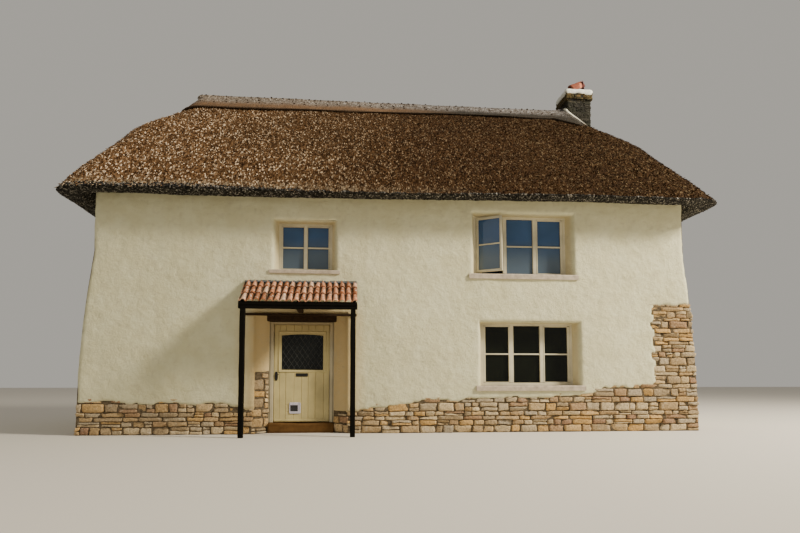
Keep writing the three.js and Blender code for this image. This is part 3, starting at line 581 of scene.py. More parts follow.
def hood_clay():
    look = Look("hood_clay", (0.50, 0.19, 0.10), 0.8)
    look.tone = look.ramp(look.noise(0.05, 5, 0.7), (0.3, (0.14, 0.034, 0.016)), (0.6, (0.29, 0.078, 0.034)),
                          (0.8, (0.42, 0.15, 0.08)))
    # Painted sunlight on the head end of the lying tile
    look.over((0.60, 0.21, 0.11), look.share(look.axis("X"), 4.69, 4.72), look.share(look.axis("Z"), 8.42, 8.39))
    # Painted shade on the hollow inside of the standing tile
    look.over((0.085, 0.012, 0.006), look.share(look.axis("X"), 4.745, 4.765))
    return look.finish((look.noise(0.02, 5, 0.7), 0.6, 0.004))


def window_glass(name, colour, shine, low=None):
    """Old glass, its colour standing for the dark room behind and reflections on it. low is a painted reflection:
    its tone in the lower half of an upper window.
    """
    look = Look(name, colour, 0.04, Alpha=0.90, IOR=1.5, Specular_IOR_Level=shine)
    look.tone = look.ramp(look.noise(0.6, 2), (0.3, scaled(colour, 0.85)), (0.7, scaled(colour, 1.2)))
    if low:
        # Painted reflection, paler low down
        look.over(low, look.share(look.stirred(look.axis("Z"), 0.3, 0.5, 3), 3.95, 3.55))
    return look.finish((look.noise(0.35, 2), 0.12, 0.004))


def laid(look, offset, width, height, gap, *tones):
    """Sets the tone to rows of slabs or boards in two tones with dark joints. Gives 1 outside the joints."""
    inputs = {"Vector": look.place, "Scale": 1.0, "Brick Width": width, "Row Height": height, "Mortar Size": gap}
    inputs.update(zip(("Color1", "Color2", "Mortar"), tones))
    look.tone = look.node("TexBrick", "Color", inputs, offset=offset)
    return look.maths("SUBTRACT", 1.0, look.tone.node.outputs["Fac"])


def flagstones():
    look = Look("stone_floor", (0.22, 0.20, 0.18), 0.85)
    joints = laid(look, 0.4, 0.75, 0.5, 0.008, (0.19, 0.17, 0.15), (0.28, 0.25, 0.21), (0.08, 0.07, 0.06))
    look.times(look.ramp(look.noise(0.2, 5), (0.3, 0.7), (0.7, 1.2)))
    return look.finish((joints, 0.6, 0.006), (look.noise(0.05), 0.4, 0.004))


def floor_boards():
    look = Look("floor_boards", (0.20, 0.12, 0.065), 0.6)
    joints = laid(look, 0.5, 2.4, 0.19, 0.003, (0.17, 0.10, 0.055), (0.26, 0.16, 0.09), (0.02, 0.014, 0.01))
    grain = look.noise(0.012, 5, 0.65, look.stretched(0.05, 1, 1))
    look.times(look.ramp(grain, (0.3, 0.6), (0.7, 1.25)))
    return look.finish((joints, 0.5, 0.004), (grain, 0.3, 0.002))


def wall_core():
    """The CAD walls: plastered where they face the rooms, mortar where the render is missing outside."""
    look = Look("wall_core", (0.46, 0.41, 0.33), 0.95)
    past_end = look.maths("SUBTRACT", look.away("X"), 5.5)
    past_side = look.maths("SUBTRACT", look.away("Y"), 2.69)
    behind = look.maths("MULTIPLY", look.maths("ADD", look.axis("Y"), 2.35), 1000.0)
    past_foot = look.maths("SUBTRACT", 1.2, look.maths("ADD", look.axis("Z"), behind))
    furthest = look.maths("MAXIMUM", past_end, look.maths("MAXIMUM", past_side, past_foot))
    bed = look.ramp(look.noise(0.05, 5, 0.7), (0.35, (0.055, 0.040, 0.024)), (0.65, (0.17, 0.13, 0.08)))
    look.tone = look.mix(look.maths("GREATER_THAN", furthest, 0.0), (0.60, 0.56, 0.46), bed)
    return look.finish((look.noise(0.03, 5, 0.7), 0.7, 0.010))


LIMEWASH, CORE, CHIMNEY_STONE, TILE, HOOD_CLAY = limewash(), wall_core(), chimney_stone(), roof_tile(), hood_clay()
STONE = rubble_stone((0.30, 0.18, 0.11), (0.47, 0.33, 0.17), (0.34, 0.26, 0.16), (0.56, 0.35, 0.13),
                     (0.54, 0.42, 0.25), (0.40, 0.33, 0.23), (0.64, 0.50, 0.30))
FLAUNCHING = mortar("flaunching", (0.54, 0.55, 0.48), (0.80, 0.80, 0.74))
FILLET_MORTAR = mortar("fillet_mortar", (0.58, 0.56, 0.46), (0.76, 0.74, 0.62), faded=(0.20, 0.175, 0.145))
REED_TONES = ((0.016, 0.007, 0.003), (0.070, 0.035, 0.013), (0.150, 0.088, 0.044), (0.50, 0.40, 0.29))
THATCH = thatch_look("thatch", *REED_TONES, across=True)
HIP_THATCH = thatch_look("hip_thatch", *REED_TONES, across=True, lie=(0.42, 1, 0.42))
# Near-black reed for the eaves' cut: painted shade under the eaves, with pale cut ends in it
EAVES_REED_SHADE = thatch_look("eaves_reed_shade", (0.005, 0.005, 0.005), (0.020, 0.019, 0.017), (0.062, 0.059, 0.053),
                         (0.34, 0.32, 0.29), lie=(1, 1, 0.2))
RIDGE_REED = thatch_look("ridge_reed", (0.105, 0.080, 0.058), (0.22, 0.185, 0.15), (0.34, 0.30, 0.26),
                         (0.50, 0.46, 0.42), lie=(1, 1, 0.7), foot=(0.19, 0.105, 0.050))
PAINT = painted_wood("cream_paint", (0.60, 0.55, 0.39))
# The door and its casing: the cream paint made darker and warmer as painted shade under the porch, darkest at the
# top
DOOR_PAINT_IN_SHADE = painted_wood("door_paint_in_shade", (0.51, 0.425, 0.19), top=(0.28, 0.18, 0.045))
FRAME_PAINT_IN_SHADE = painted_wood("frame_paint_in_shade", (0.44, 0.385, 0.25), top=(0.28, 0.18, 0.05))
TIMBER = dark_timber("dark_timber", (0.010, 0.006, 0.004), (0.040, 0.023, 0.012), (0.090, 0.055, 0.030))
TARRED = dark_timber("tarred_timber", (0.0015, 0.0013, 0.001), (0.0042, 0.0034, 0.0016), (0.012, 0.009, 0.005))
IRON = simple_look("black_iron", (0.022, 0.021, 0.020), 0.45, 0.01, 0.4, Metallic=0.6)
LEAD = simple_look("lead", (0.10, 0.105, 0.115), 0.55, 0.05, 0.3, Metallic=0.4)
LEAD_STRIP = simple_look("lead_strip", (0.060, 0.062, 0.058), 0.6, 0.02, 0.2, Metallic=0.3)
PLASTIC = simple_look("flap_plastic", (0.52, 0.49, 0.56), 0.4, 0.02, 0.1)
# Near-black glossy flap: painted shade seen through the clear plastic
FLAP_SHADE = simple_look("flap_panel", (0.02, 0.02, 0.02), 0.15, 0.03, 0.1)
SILL = simple_look("sill_stone", (0.46, 0.385, 0.29), 0.8, 0.03, 0.5)
THRESHOLD = simple_look("threshold_stone", (0.115, 0.058, 0.018), 0.85, 0.04, 0.6)
# Painted light in the glass: the upper windows' blue is a painted sky reflection, the lower windows' near black is
# painted shade of the rooms behind
GLASS = window_glass("window_glass", (0.034, 0.085, 0.20), 0.5, low=(0.095, 0.135, 0.185))
DARK_GLASS = window_glass("dark_glass", (0.006, 0.007, 0.004), 0.25)


# Walls

def batter(z):
    """How far an end wall stands out past its upper face at height z."""
    return BATTER["foot"] * (1 - np.clip(z / BATTER["top"], 0, 1) ** BATTER["power"])


def on_side(side, along, out, up):
    """World points from wall coordinates: along runs left to right as seen from outside."""
    turns = {"front": (along, -out), "right": (out, along), "back": (-along, out), "left": (-out, -along)}
    return np.stack(np.broadcast_arrays(*turns[side], up), axis=-1).astype(float)


def is_long(side):
    return side in ("front", "back")


def wall_size(side, z):
    """How far the corners and the bare face of a wall are from the middle of the cottage, at height z."""
    sizes = HALF_LENGTH + batter(z), HALF_DEPTH + 0 * z
    return sizes if is_long(side) else sizes[::-1]


def render_share(side, along, z):
    """Distance in metres to the edge of the render: positive where the wall is rendered."""
    place = on_side(side, along, 3.0, z)
    wobble = 0.045 * noise(place, 0.30, 11) + 0.020 * noise(place, 0.09, 12)
    distance = z - np.interp(along, *np.transpose(STONE_FOOT[side]))
    for start, end, top in QUOINS[side]:
        teeth = 0.022 * np.sign(np.sin(z * 21 + start)) + 0.05 * noise(place, 0.5, 14)
        inner = np.maximum(start + teeth * (start > -2) - along, along - end - teeth)
        distance = np.minimum(distance, np.maximum(inner, z - top))
    return distance + wobble


def window_hole(node, flip=1):
    """A window's opening in its wall's coordinates. flip is -1 for the back wall."""
    low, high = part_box(node)
    left, right = sorted((flip * low.x, flip * high.x))
    return {"mouth": (left - WINDOW_SPLAY, right + WINDOW_SPLAY, low.z - 0.03, high.z - 0.010),
            "frame": (left + 0.006, right - 0.006, low.z - 0.03, high.z - 0.014),
            "depth": low.y if flip > 0 else -high.y, "open": False}


def door_hole():
    """The doorway, which is open at its foot."""
    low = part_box("door_frame")[0]
    half = DOOR_MOUTH - 0.050
    inner = (low.x + 0.006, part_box("door_threshold")[1].x - 0.006, 0.0, DOOR_MOUTH_TOP - 0.012)
    mouth = (DOOR_X - half, DOOR_X + half, 0.0, DOOR_MOUTH_TOP)
    return {"mouth": mouth, "frame": inner, "depth": low.y, "open": True}


def coat_relief(points):
    """Height of the hand-laid render's lumps, in metres, and its pits from -1 to 1."""
    swell = 0.014 * noise(points, 1.3, 1) + 0.009 * noise(points, 0.45, 2)
    lumps = 0.0045 * noise(points, 0.13, 3)
    pits = noise(points, 0.055, 4)
    return swell + lumps + 0.0025 * pits, pits


def wall_coat(side, holes, step):
    """The limewashed render on one wall, with soft corners, rounded reveals and stone left bare."""
    face = COAT - CORNER_RADIUS
    end = (HALF_LENGTH if is_long(side) else HALF_DEPTH) + face
    stops = [[hole["mouth"][first + other] + shift for hole in holes for other, sign in ((0, -1), (1, 1))
              for shift in (0, sign * 0.012, sign * 0.03, sign * MOUTH_RADIUS)] for first in (0, 2)]
    along, up = lines(-end, end, step, stops[0]), lines(0.0, WALL_HEAD, step, stops[1])
    arc = np.radians(np.linspace(0, 90, 7))[1:] if is_long(side) else np.zeros(0)
    flat = np.concatenate([np.full(len(arc), -end), along, np.full(len(arc), end)])
    a, z = np.meshgrid(flat, up)
    angle = np.broadcast_to(np.concatenate([-arc[::-1], 0 * along, arc]), a.shape)
    if is_long(side):
        a = a + batter(z) * np.clip((np.abs(a) - end + 0.9) / 0.9, 0, 1) * np.sign(a)
        out = HALF_DEPTH + face + CORNER_RADIUS * np.cos(angle)
    else:
        out = HALF_LENGTH + batter(z) + COAT
    a = a + CORNER_RADIUS * np.sin(angle)
    normal = on_side(side, np.sin(angle), np.cos(angle), 0 * z)
    for hole in holes:
        left, right, low, high = hole["mouth"]
        gap = np.hypot(np.maximum(0, np.maximum(left - a, a - right)),
                       np.maximum(0, np.maximum(low - z, z - high)))
        out = out - MOUTH_RADIUS * (1 - np.sqrt(1 - np.clip(1 - gap / MOUTH_RADIUS, 0, 1) ** 2))
    points = on_side(side, a, out, z)
    relief, pits = coat_relief(points)
    sunk = (1 - smoothstep(-0.014, 0.014, render_share(side, a, z))) * (COAT + 0.022)
    points = points + normal * (relief - sunk)[..., None]
    points[..., 2] = np.maximum(points[..., 2], 0)
    faces = grid_faces(*a.shape)
    middle_a, middle_z = ((grid[:-1, :-1] + grid[1:, 1:]).ravel() / 2 for grid in (a, z))
    keep = np.ones(len(faces), bool)
    for hole in holes:
        left, right, low, high = hole["mouth"]
        keep &= ~((middle_a > left) & (middle_a < right) & (middle_z > low) & (middle_z < high))
    all_points, all_faces, values = [points.reshape(-1, 3)], [faces[keep]], [pits.ravel()]
    for hole in holes:
        inner, inner_faces = reveal(side, hole, along, up, len(arc), points, sum(map(len, all_points)))
        all_points.append(inner)
        all_faces.append(inner_faces)
        values.append(noise(inner, 0.05, 4))
    piece(side + "_render", np.concatenate(all_points), all_faces, LIMEWASH, "limewash",
          relief=np.concatenate(values))


def reveal(side, hole, along, up, offset, points, first):
    """The sides of an opening, from its rounded mouth back to the frame."""
    left, right, low, high = hole["mouth"]
    c0, c1 = (int(np.abs(along - value).argmin()) + offset for value in (left, right))
    r0, r1 = (int(np.abs(up - value).argmin()) for value in (low, high))
    loop = [(row, c1) for row in range(r0, r1 + 1)] + [(r1, column) for column in range(c1 - 1, c0 - 1, -1)]
    loop += [(row, c0) for row in range(r1 - 1, r0 - 1, -1)]
    if not hole["open"]:
        loop += [(r0, column) for column in range(c0 + 1, c1)]
    row, column = np.transpose(loop)
    mouth = points[row, column]
    a, z = along[column - offset], up[row]
    frame_left, frame_right, frame_low, frame_high = hole["frame"]
    inner_a = frame_left + (a - left) / (right - left) * (frame_right - frame_left)
    inner_z = frame_low + (z - low) / (high - low) * (frame_high - frame_low)
    steps = np.linspace(0, 1, 9)[1:, None, None]
    strip = mouth + (on_side(side, inner_a, -hole["depth"] - 0.006, inner_z) - mouth) * steps
    inward = on_side(side, (left + right) / 2, -hole["depth"], (low + high) / 2) - strip
    inward[..., 1 if is_long(side) else 0] = 0
    inward /= np.linalg.norm(inward, axis=-1, keepdims=True)
    bare = 0 * a
    if hole["open"]:  # the doorway's sides have no render at their foot
        foot = np.where(a < DOOR_X, DOOR_BARE["left"], DOOR_BARE["right"])
        bare = 1 - smoothstep(-0.014, 0.014, z - foot + 0.05 * noise(on_side("front", a, 3.0, z), 0.12, 13))
    lumps = 0.006 * (1 + noise(strip, 0.16, 5)) + 0.002 * noise(strip, 0.05, 6)
    fade = np.minimum(1, 4 * (1 - steps[..., 0]))
    strip = strip + inward * (lumps * fade - 0.060 * bare)[..., None]
    strip[..., 2] = np.maximum(strip[..., 2], 0)
    edge = row * points.shape[1] + column
    ring = np.arange(len(loop)) + first
    joined = np.stack([edge, np.roll(edge, -1), np.roll(ring, -1), ring], axis=-1)
    strip_faces = grid_faces(len(steps), len(loop), closed=not hole["open"], first=first)
    return strip.reshape(-1, 3), np.concatenate([joined[:-1] if hole["open"] else joined, strip_faces])


def lay_stones(side, seed, holes=(), depth=0.10):
    """The stones that show where a wall has no render."""
    generator = np.random.default_rng(seed)
    half = HALF_LENGTH + BATTER["foot"] if is_long(side) else HALF_DEPTH
    found = []
    for u, z, half_u, half_z in courses(2 * half, QUOIN_TOP + 0.05, generator):
        u -= half
        left, right = u - half_u, u + half_u
        mouths = [hole["mouth"] for hole in holes if hole["mouth"][2] < z < hole["mouth"][3]]
        for mouth in mouths:
            if left < mouth[0] < right:
                right = mouth[0] - 0.022
            if left < mouth[1] < right:
                left = mouth[1] + 0.022
        corner = float(wall_size(side, np.float64(z))[0])
        limit = corner + 0.008 if is_long(side) else corner - 2 * depth + 0.02
        left, right = max(left, -limit), min(right, limit)
        if right - left < 0.05:
            continue
        u, half_u = (left + right) / 2, (right - left) / 2
        if any(mouth[0] - 0.02 < u + half_u and u - half_u < mouth[1] + 0.02 for mouth in mouths):
            continue
        edge = render_share(side, np.array([u, left, right, u]), np.array([z, z, z, z + half_z]))
        if edge[0] > 0.05:
            continue
        proud = generator.uniform(0.010, 0.036) if edge.max() < 0.01 else generator.uniform(0.0, 0.012)
        found.append(((u, -(proud - depth), z), (half_u, depth, half_z)))

    def place(points):
        u, deep, z = np.moveaxis(points, -1, 0)
        return on_side(side, u, wall_size(side, z)[1] - deep, z)

    stones(side + "_stones", found, place, seed, STONE, 0.013)


def doorway_stones():
    """Big bare stones at the foot of the doorway's splayed sides."""
    generator = np.random.default_rng(29)
    frame_low, frame_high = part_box("door_frame")
    for side, sign, inner_x in (("left", -1, frame_low.x), ("right", 1, frame_high.x)):
        mouth = np.array([DOOR_X + sign * DOOR_MOUTH, -HALF_DEPTH])
        inner = np.array([inner_x, frame_low.y])
        width = np.linalg.norm(inner - mouth)
        along = (inner - mouth) / width
        away = np.array([along[1], -along[0]]) * -sign
        found = []
        for u, z, half_u, half_z in courses(width, DOOR_BARE[side], generator, (0.18, 0.36), (0.10, 0.24), 0.02):
            left, right = max(0.0, u - half_u), min(width - 0.01, u + half_u)
            if right - left > 0.06 and z + half_z < DOOR_BARE[side] + 0.03:
                found.append((((left + right) / 2, 0.08 - generator.uniform(0.014, 0.034), z),
                              ((right - left) / 2, 0.08, half_z)))

        def place(points):
            flat = mouth + points[..., :1] * along - points[..., 1:2] * away
            return np.concatenate([flat, points[..., 2:]], axis=-1)

        stones(f"doorway_{side}_stones", found, place, 30 + sign, STONE, outward=True)


def build_walls():
    front_holes = [window_hole(node + "_window_frame") for node in ("upper_left", "upper_right", "lower_right")]
    front_holes.append(door_hole())
    back_holes = [window_hole(node + "_window_frame", -1) for node in ("back_upper", "back_lower")]
    for side, holes, step in (("front", front_holes, 0.036), ("back", back_holes, 0.05), ("right", [], 0.045),
                              ("left", [], 0.05)):
        wall_coat(side, holes, step)
    doorway_stones()
    for side, seed, holes in (("front", 21, front_holes), ("right", 22, []), ("back", 23, back_holes),
                              ("left", 24, [])):
        lay_stones(side, seed, holes)
    for node in ("front_wall_left", "front_wall_right", "wall_over_door", "back_wall", "left_end_wall",
                 "right_end_wall", "front_plinth_left", "front_plinth_right", "back_plinth", "left_plinth",
                 "right_plinth"):
        finish_node(node, CORE)
    finish_node("chimney_breast", plain_plaster())


# Roof

def roof_section(t, out=0.0):
    """Half length, half depth, corner radius and height at a share t of the way up the slope, out from it."""
    swell = 4 * t * (1 - t)
    length = EAVES["half_length"] + (RIDGE["half_length"] - EAVES["half_length"]) * t + HIP_BULGE * swell
    length += HIP_CREST["out"] * np.exp(-((t - HIP_CREST["at"]) / HIP_CREST["spread"]) ** 2)
    depth = EAVES["half_depth"] + (RIDGE["half_depth"] - EAVES["half_depth"]) * t + SLOPE_BULGE * swell
    return length + out, depth + out, np.minimum(HIP_RADIUS, depth) + out, EAVES["z"] + RISE * t


def outline(side, sections, straight, arc):
    """Points on one side of level sections (half length, half depth, corner, z), from hip to hip."""
    length, depth, corner, z = (np.asarray(values, float)[:, None] for values in zip(*sections))
    along, out = (length, depth) if is_long(side) else (depth, length)
    angle = np.radians(np.linspace(0, 45, arc + 1))[None]
    flat = np.linspace(-1, 1, straight + 1)[None]
    a, b = along - corner, out - corner
    u = np.concatenate([-a - corner * np.sin(angle[:, :0:-1]), a * flat, a + corner * np.sin(angle[:, 1:])],
                       axis=1)
    v_arc = b + corner * np.cos(angle)
    v = np.concatenate([v_arc[:, :0:-1], (b + corner) * np.ones_like(flat), v_arc[:, 1:]], axis=1)
    return on_side(side, u, v, z * np.ones_like(u))


def thatch_sections():
    """Sections from the crown of the attic down inside, round the eaves and up the slope, with a zone for each."""
    rows = []
    for z in np.linspace(7.15, 4.62, 9):
        length, depth, _, _ = roof_section((z - EAVES["z"]) / RISE)
        length, depth = min(length - 0.37, 5.12), min(depth - 0.44, 2.11)
        rows.append(((length, depth, min(0.15, depth * 0.8), z), "inside"))
    rows.append(((5.74, 2.73, 0.02, 4.60), "inside"))
    for share in np.linspace(0, 1, 5):
        rows.append(((5.75 + 0.25 * share, 2.74 + 0.23 * share, 0.02 + 0.36 * share, 4.58 - 0.19 * share),
                     "eaves"))
    for degrees in np.linspace(0, 90, 13)[1:]:
        turn = math.radians(degrees)
        grow, up = math.sin(turn), 1 - math.cos(turn)
        rows.append(((6.0 + 0.38 * grow, 2.97 + 0.29 * grow, 0.38 + 0.17 * grow, 4.39 + 0.07 * up), "eaves"))
    return rows + [(roof_section(t), "slope") for t in np.linspace(0, 0.955, 146)[1:]]


def ridge_end(x):
    """The height that the thatch doesn't pass at x: it drops in a straight line beside the chimney."""
    return np.where(x < RIDGE_END["x"], 9.0, RIDGE_END["z"] - RIDGE_END["fall"] * (x - RIDGE_END["x"]))


def fillet_line(x):
    """Height of the mortar fillet that runs down along the chimney's front and back."""
    return FILLET["z"] - FILLET["fall"] * np.maximum(0, x - FILLET["x"])


def in_box(points, gap=INSIDE):
    """Points held inside the CAD model's box."""
    return np.clip(points, np.array(cad_box[0]) + gap, np.array(cad_box[1]) - gap)


def thatch_piece(side, straight, node, reeds, seed):
    """The thatch of one slope: its rough reed surface, the cut eaves and the inside, and loose reed ends on it."""
    rows = thatch_sections()
    base = outline(side, [section for section, _ in rows], straight, 12)
    normals = grid_normals(base)
    zone = np.array([zone for _, zone in rows])
    depths = np.array([section[1] for section, _ in rows])
    lumps = noise(base, 1.1, 21) * 0.018 + noise(base, 0.30, 22) * 0.006
    fine = noise(base * np.array([1, 1, 0.7]), 0.062, 23)
    pits = 0.35 * fine + 0.65 * rng.uniform(-1, 1, fine.shape)
    strength = np.select([zone == "inside", zone == "eaves"], [0.3, 0.8], 1.0)[:, None]
    points = base + normals * ((lumps + 0.010 * pits) * strength - 0.012)[..., None]
    sag = 0.035 * noise(base, 2.4, 24) - 0.030 * (0.5 - base[..., 0] / 12.8)
    sag += np.interp(base[..., 0], *np.transpose(EAVES_RISE))
    low_share = np.where(zone == "inside", 0, np.exp(-np.maximum(0, base[:, 0, 2] - 4.4) / 0.25))
    low_share = np.where(zone == "eaves", low_share * np.clip((depths - 2.74) / 0.23, 0, 1), low_share)
    points[..., 2] += sag * low_share[:, None]
    points[..., 2] = np.minimum(points[..., 2], ridge_end(points[..., 0]) - 0.05)
    points = in_box(points)
    name = node.removeprefix("thatch_")
    mesh = piece(name + "_thatch", points, [grid_faces(*base.shape[:2])], THATCH if is_long(side) else HIP_THATCH,
                 "thatch", replaces=node, relief=pits).data
    mesh.materials.append(EAVES_REED_SHADE)
    # The eaves' cut takes the near-black reed of painted shade, with a ragged upper edge
    cut_height = 4.475 + np.interp(base[:-1, :-1, 0], (-6, -4, 0), (0.07, 0.07, 0.0))
    ragged = base[:-1, :-1, 2] > cut_height + 0.030 * noise(base[:-1, :-1], 0.10, 26)
    is_slope = (zone[:-1] == "slope")[:, None] & ragged
    mesh.polygons.foreach_set("material_index", np.where(is_slope, 0, 1).ravel().astype(np.int32))
    reed_ends(name + "_reed_ends", points[zone == "slope"], normals[zone == "slope"], reeds, seed)


def reed_ends(name, points, normals, count, seed):
    """Loose reed ends that stick out of a slope and point down it."""
    generator = np.random.default_rng(seed)
    across = np.linalg.norm(points[:-1, 1:] - points[:-1, :-1], axis=-1)
    picks = generator.choice(across.size, count, p=(across / across.sum()).ravel())
    row, column = np.unravel_index(picks, across.shape)
    down = points[row, column] - points[row + 1, column]
    down /= np.linalg.norm(down, axis=1, keepdims=True)
    out = normals[row, column]
    side = np.cross(out, down)
    turn = generator.normal(0, 0.35, (count, 1))
    down, side = down * np.cos(turn) + side * np.sin(turn), side * np.cos(turn) - down * np.sin(turn)
    start = points[row, column] + side * generator.uniform(-0.015, 0.015, (count, 1))
    width, length, lift = (generator.uniform(*limits, (count, 1))
                           for limits in ((0.004, 0.009), (0.025, 0.060), (0.006, 0.022)))
    corners = np.stack([start - side * width - out * 0.004, start + side * width - out * 0.004,
                        start + out * lift * 0.6, start + down * length + out * lift], axis=1)
    tris = np.array([(0, 3, 2), (1, 2, 3), (0, 1, 3), (0, 2, 1)])
    faces = (tris[None] + np.arange(count)[:, None, None] * 4).reshape(-1, 3)
    piece(name, in_box(corners), [faces], THATCH, "thatch", smooth=False,
          relief=np.repeat(generator.uniform(0.2, 1, count), 4))


def near_stack(points):
    """1 beside the front left corner of the chimney, falling to 0 about half a metre away."""
    gap = np.hypot((points[..., 0] - STACK["left"] - 0.1) / 1.5, points[..., 1] - STACK["front"])
    return np.exp(-(gap / 0.22) ** 2)


def settled(points):
    """How far the ridge sinks towards the right, and rises again beside the chimney."""
    return -0.045 * (points[..., 0] + 4.4) / 9 + 0.14 * near_stack(points)


def ridge_cap():
    """The rounded straw ridge with its ties."""
    low = CAP_BOTTOM - 0.005
    base_t = (low - EAVES["z"]) / RISE
    sections = [roof_section(base_t + rise / RISE, grow)
                for rise, grow in ((0.0, -0.02), (0.0, 0.02), (0.004, 0.055), (0.022, 0.078), (0.05, 0.088))]
    sections += [roof_section(t, CAP_OUT) for t in np.linspace(base_t + 0.03, 1.0, 22)]
    for degrees in (15, 30, 45, 60, 75, 86):
        turn = math.radians(degrees)
        width = 0.03 + 0.115 * math.cos(turn)
        sections.append((RIDGE["half_length"] + width, width, width, RIDGE["z"] + 0.112 * math.sin(turn)))
    sides = [outline(side, sections, straight, 6)[:, :-1]
             for side, straight in (("front", CAP_COLUMNS), ("right", 24), ("back", CAP_COLUMNS), ("left", 24))]
    base = np.concatenate(sides, axis=1)
    normals = ring_normals(base)
    pits = 0.5 * noise(base, 0.05, 31) + 0.5 * rng.uniform(-1, 1, base.shape[:2])
    relief = 0.012 * noise(base, 0.7, 32) + 0.006 * noise(base, 0.15, 33) + 0.0045 * pits
    # Painted shade: the cut lower edge and the shadow under it are dark
    pits[:4] = -1.0
    pits[4] = np.minimum(pits[4], -0.3)
    points = base + normals * relief[..., None]
    # The lower edge climbs towards the right: rows close up, along the slope, below the crest
    share = np.clip((RIDGE["z"] - base[..., 2]) / (RIDGE["z"] - low), 0, 1)
    rise = np.interp(base[..., 0], *np.transpose(CAP_RISE)) * share
    level = normals[8, :, :2] / np.linalg.norm(normals[8, :, :2], axis=-1, keepdims=True)
    points[..., 2] += rise
    points[..., :2] -= level * (np.hypot(0.61 * level[:, 0], 1.16 * level[:, 1]) * rise)[..., None]
    wave = 0.022 * noise(base * np.array([1, 0, 0]), 1.1, 34)
    points[..., 2] += wave * np.exp(-np.maximum(0, base[..., 2] - low) / 0.12) + settled(base)
    # Beside the chimney it stays under the mortar fillet, and slopes away from it
    out = np.abs(points[..., 1])
    under = fillet_line(points[..., 0]) - 0.035 - 0.8 * np.maximum(0, out - 0.27)
    points[..., 2] = np.where(out > FILLET["middle"], np.minimum(points[..., 2], under), points[..., 2])
    points[..., 0] = np.minimum(points[..., 0], STACK["right"] - 0.004)
    points[..., 2] = np.minimum(points[..., 2], cad_box[1].z)
    rows, columns = base.shape[:2]
    crest = crest_faces((rows - 1) * columns, sides[0].shape[1], sides[1].shape[1])
    piece("straw_ridge", points, [grid_faces(rows, columns, closed=True), *crest], RIDGE_REED, "ridge_thatch",
          replaces="ridge_cap", relief=pits, tint=share)
    ridge_ties(points[:, :CAP_COLUMNS])


def crest_faces(first, front, end):
    """Quads and two triangles that close a ring along its middle line. Its front and back hold front points each,
    and its ends hold end points each."""
    count = 2 * (front + end)
    start = front + end // 2
    steps = np.arange(count // 2 + 1)
    back, fore = first + (start + steps) % count, first + (start - steps) % count
    quads = np.stack([fore[1:-2], back[1:-2], back[2:-1], fore[2:-1]], axis=-1)
    return quads, np.array([(back[0], back[1], fore[1]), (fore[-2], back[-2], back[-1])])


def ridge_ties(front):
    """Dark twisted spars that stick out along both sides of the crest and hold the netting down."""
    bars = []
    for row, step in ((-4, 5), (-10, 9), (-17, 9)):
        for column in range(4, CAP_COLUMNS - 4, step):
            x, y, z = front[row, column] + rng.uniform(-0.02, 0.02, 3) * np.array([1, 0, 0.4])
            for flip in (1, -1):
                size = rng.uniform(0.007, 0.012)
                middle = np.array([x, y * flip, z])
                bars.append((middle - (size * 1.5, size, size), middle + (size * 1.5, size, size * 1.4)))
    piece("ridge_spars", *bars_shape(bars, 0.003), TIMBER, "dark_timber")


def roof_height(x, y):
    """Height of the thatch or the ridge cap over a point."""
    length, depth, corner, z = roof_section(np.linspace(0, 1, 400))
    inside = (length > abs(x)) & (depth > abs(y))
    qx, qy = abs(x) - (length - corner), abs(y) - (depth - corner)
    inside &= ~((qx > 0) & (qy > 0) & (np.hypot(qx, qy) > corner))
    height = z[inside].max() if inside.any() else EAVES["z"]
    return height + (CAP_OUT if height > CAP_BOTTOM else 0)


# Chimney

def chimney_stones(side, seed):
    """The stones on one face of the stack."""
    generator = np.random.default_rng(seed)
    middle_x, middle_y = (STACK["left"] + STACK["right"]) / 2, (STACK["front"] + STACK["back"]) / 2
    width = STACK["right"] - STACK["left"] if is_long(side) else STACK["back"] - STACK["front"]
    bottom = 6.85 if side != "left" else 7.0
    margin, deep, found = 0.06, 0.07, []
    beds = courses(width + 2 * margin, 8.08 - bottom, generator, (0.06, 0.20), (0.035, 0.07), 0.002)
    for u, z, half_u, half_z in beds:
        z += bottom
        out = STACK_HEAD["out"] if z > STACK_HEAD["bottom"] else 0
        left, right = max(margin - 0.012 - out, u - half_u), min(width + margin + 0.012 + out, u + half_u)
        if right - left < 0.04 or z > STACK_HEAD["top"]:
            continue
        proud = generator.uniform(0.003, 0.009) + out
        # place takes how far a stone stands out, so its half depth is negative and the open back points inwards
        found.append((((left + right) / 2 - width / 2 - margin, proud - deep, z),
                      ((right - left) / 2, -deep, half_z)))

    def place(points):
        u, out, z = np.moveaxis(points, -1, 0)
        faces = {"front": (middle_x + u, STACK["front"] - out), "back": (middle_x - u, STACK["back"] + out),
                 "right": (STACK["right"] + out, middle_y + u), "left": (STACK["left"] - out, middle_y - u)}
        return np.stack([*faces[side], z], axis=-1)

    stones(f"chimney_{side}_stones", found, place, seed, CHIMNEY_STONE, 0.014)


def rounded_rectangle(half_x, half_y, corner):
    """Points round a rectangle with rounded corners, seen from above."""
    points = []
    signs = ((1, 1), (-1, 1), (-1, -1), (1, -1))
    for turn, (sx, sy) in enumerate(signs):
        for angle in np.radians(np.linspace(0, 90, 9) + 90 * turn):
            away = np.array([math.cos(angle), math.sin(angle)])
            points.append(np.array([sx * (half_x - corner), sy * (half_y - corner)]) + corner * away)
        nx, ny = signs[(turn + 1) % 4]
        last, following = points[-1], np.array([nx * (half_x - corner), ny * (half_y - corner)]) + corner * away
        points += [last + (following - last) * share for share in np.linspace(0, 1, 12)[1:-1]]
    return np.array(points)


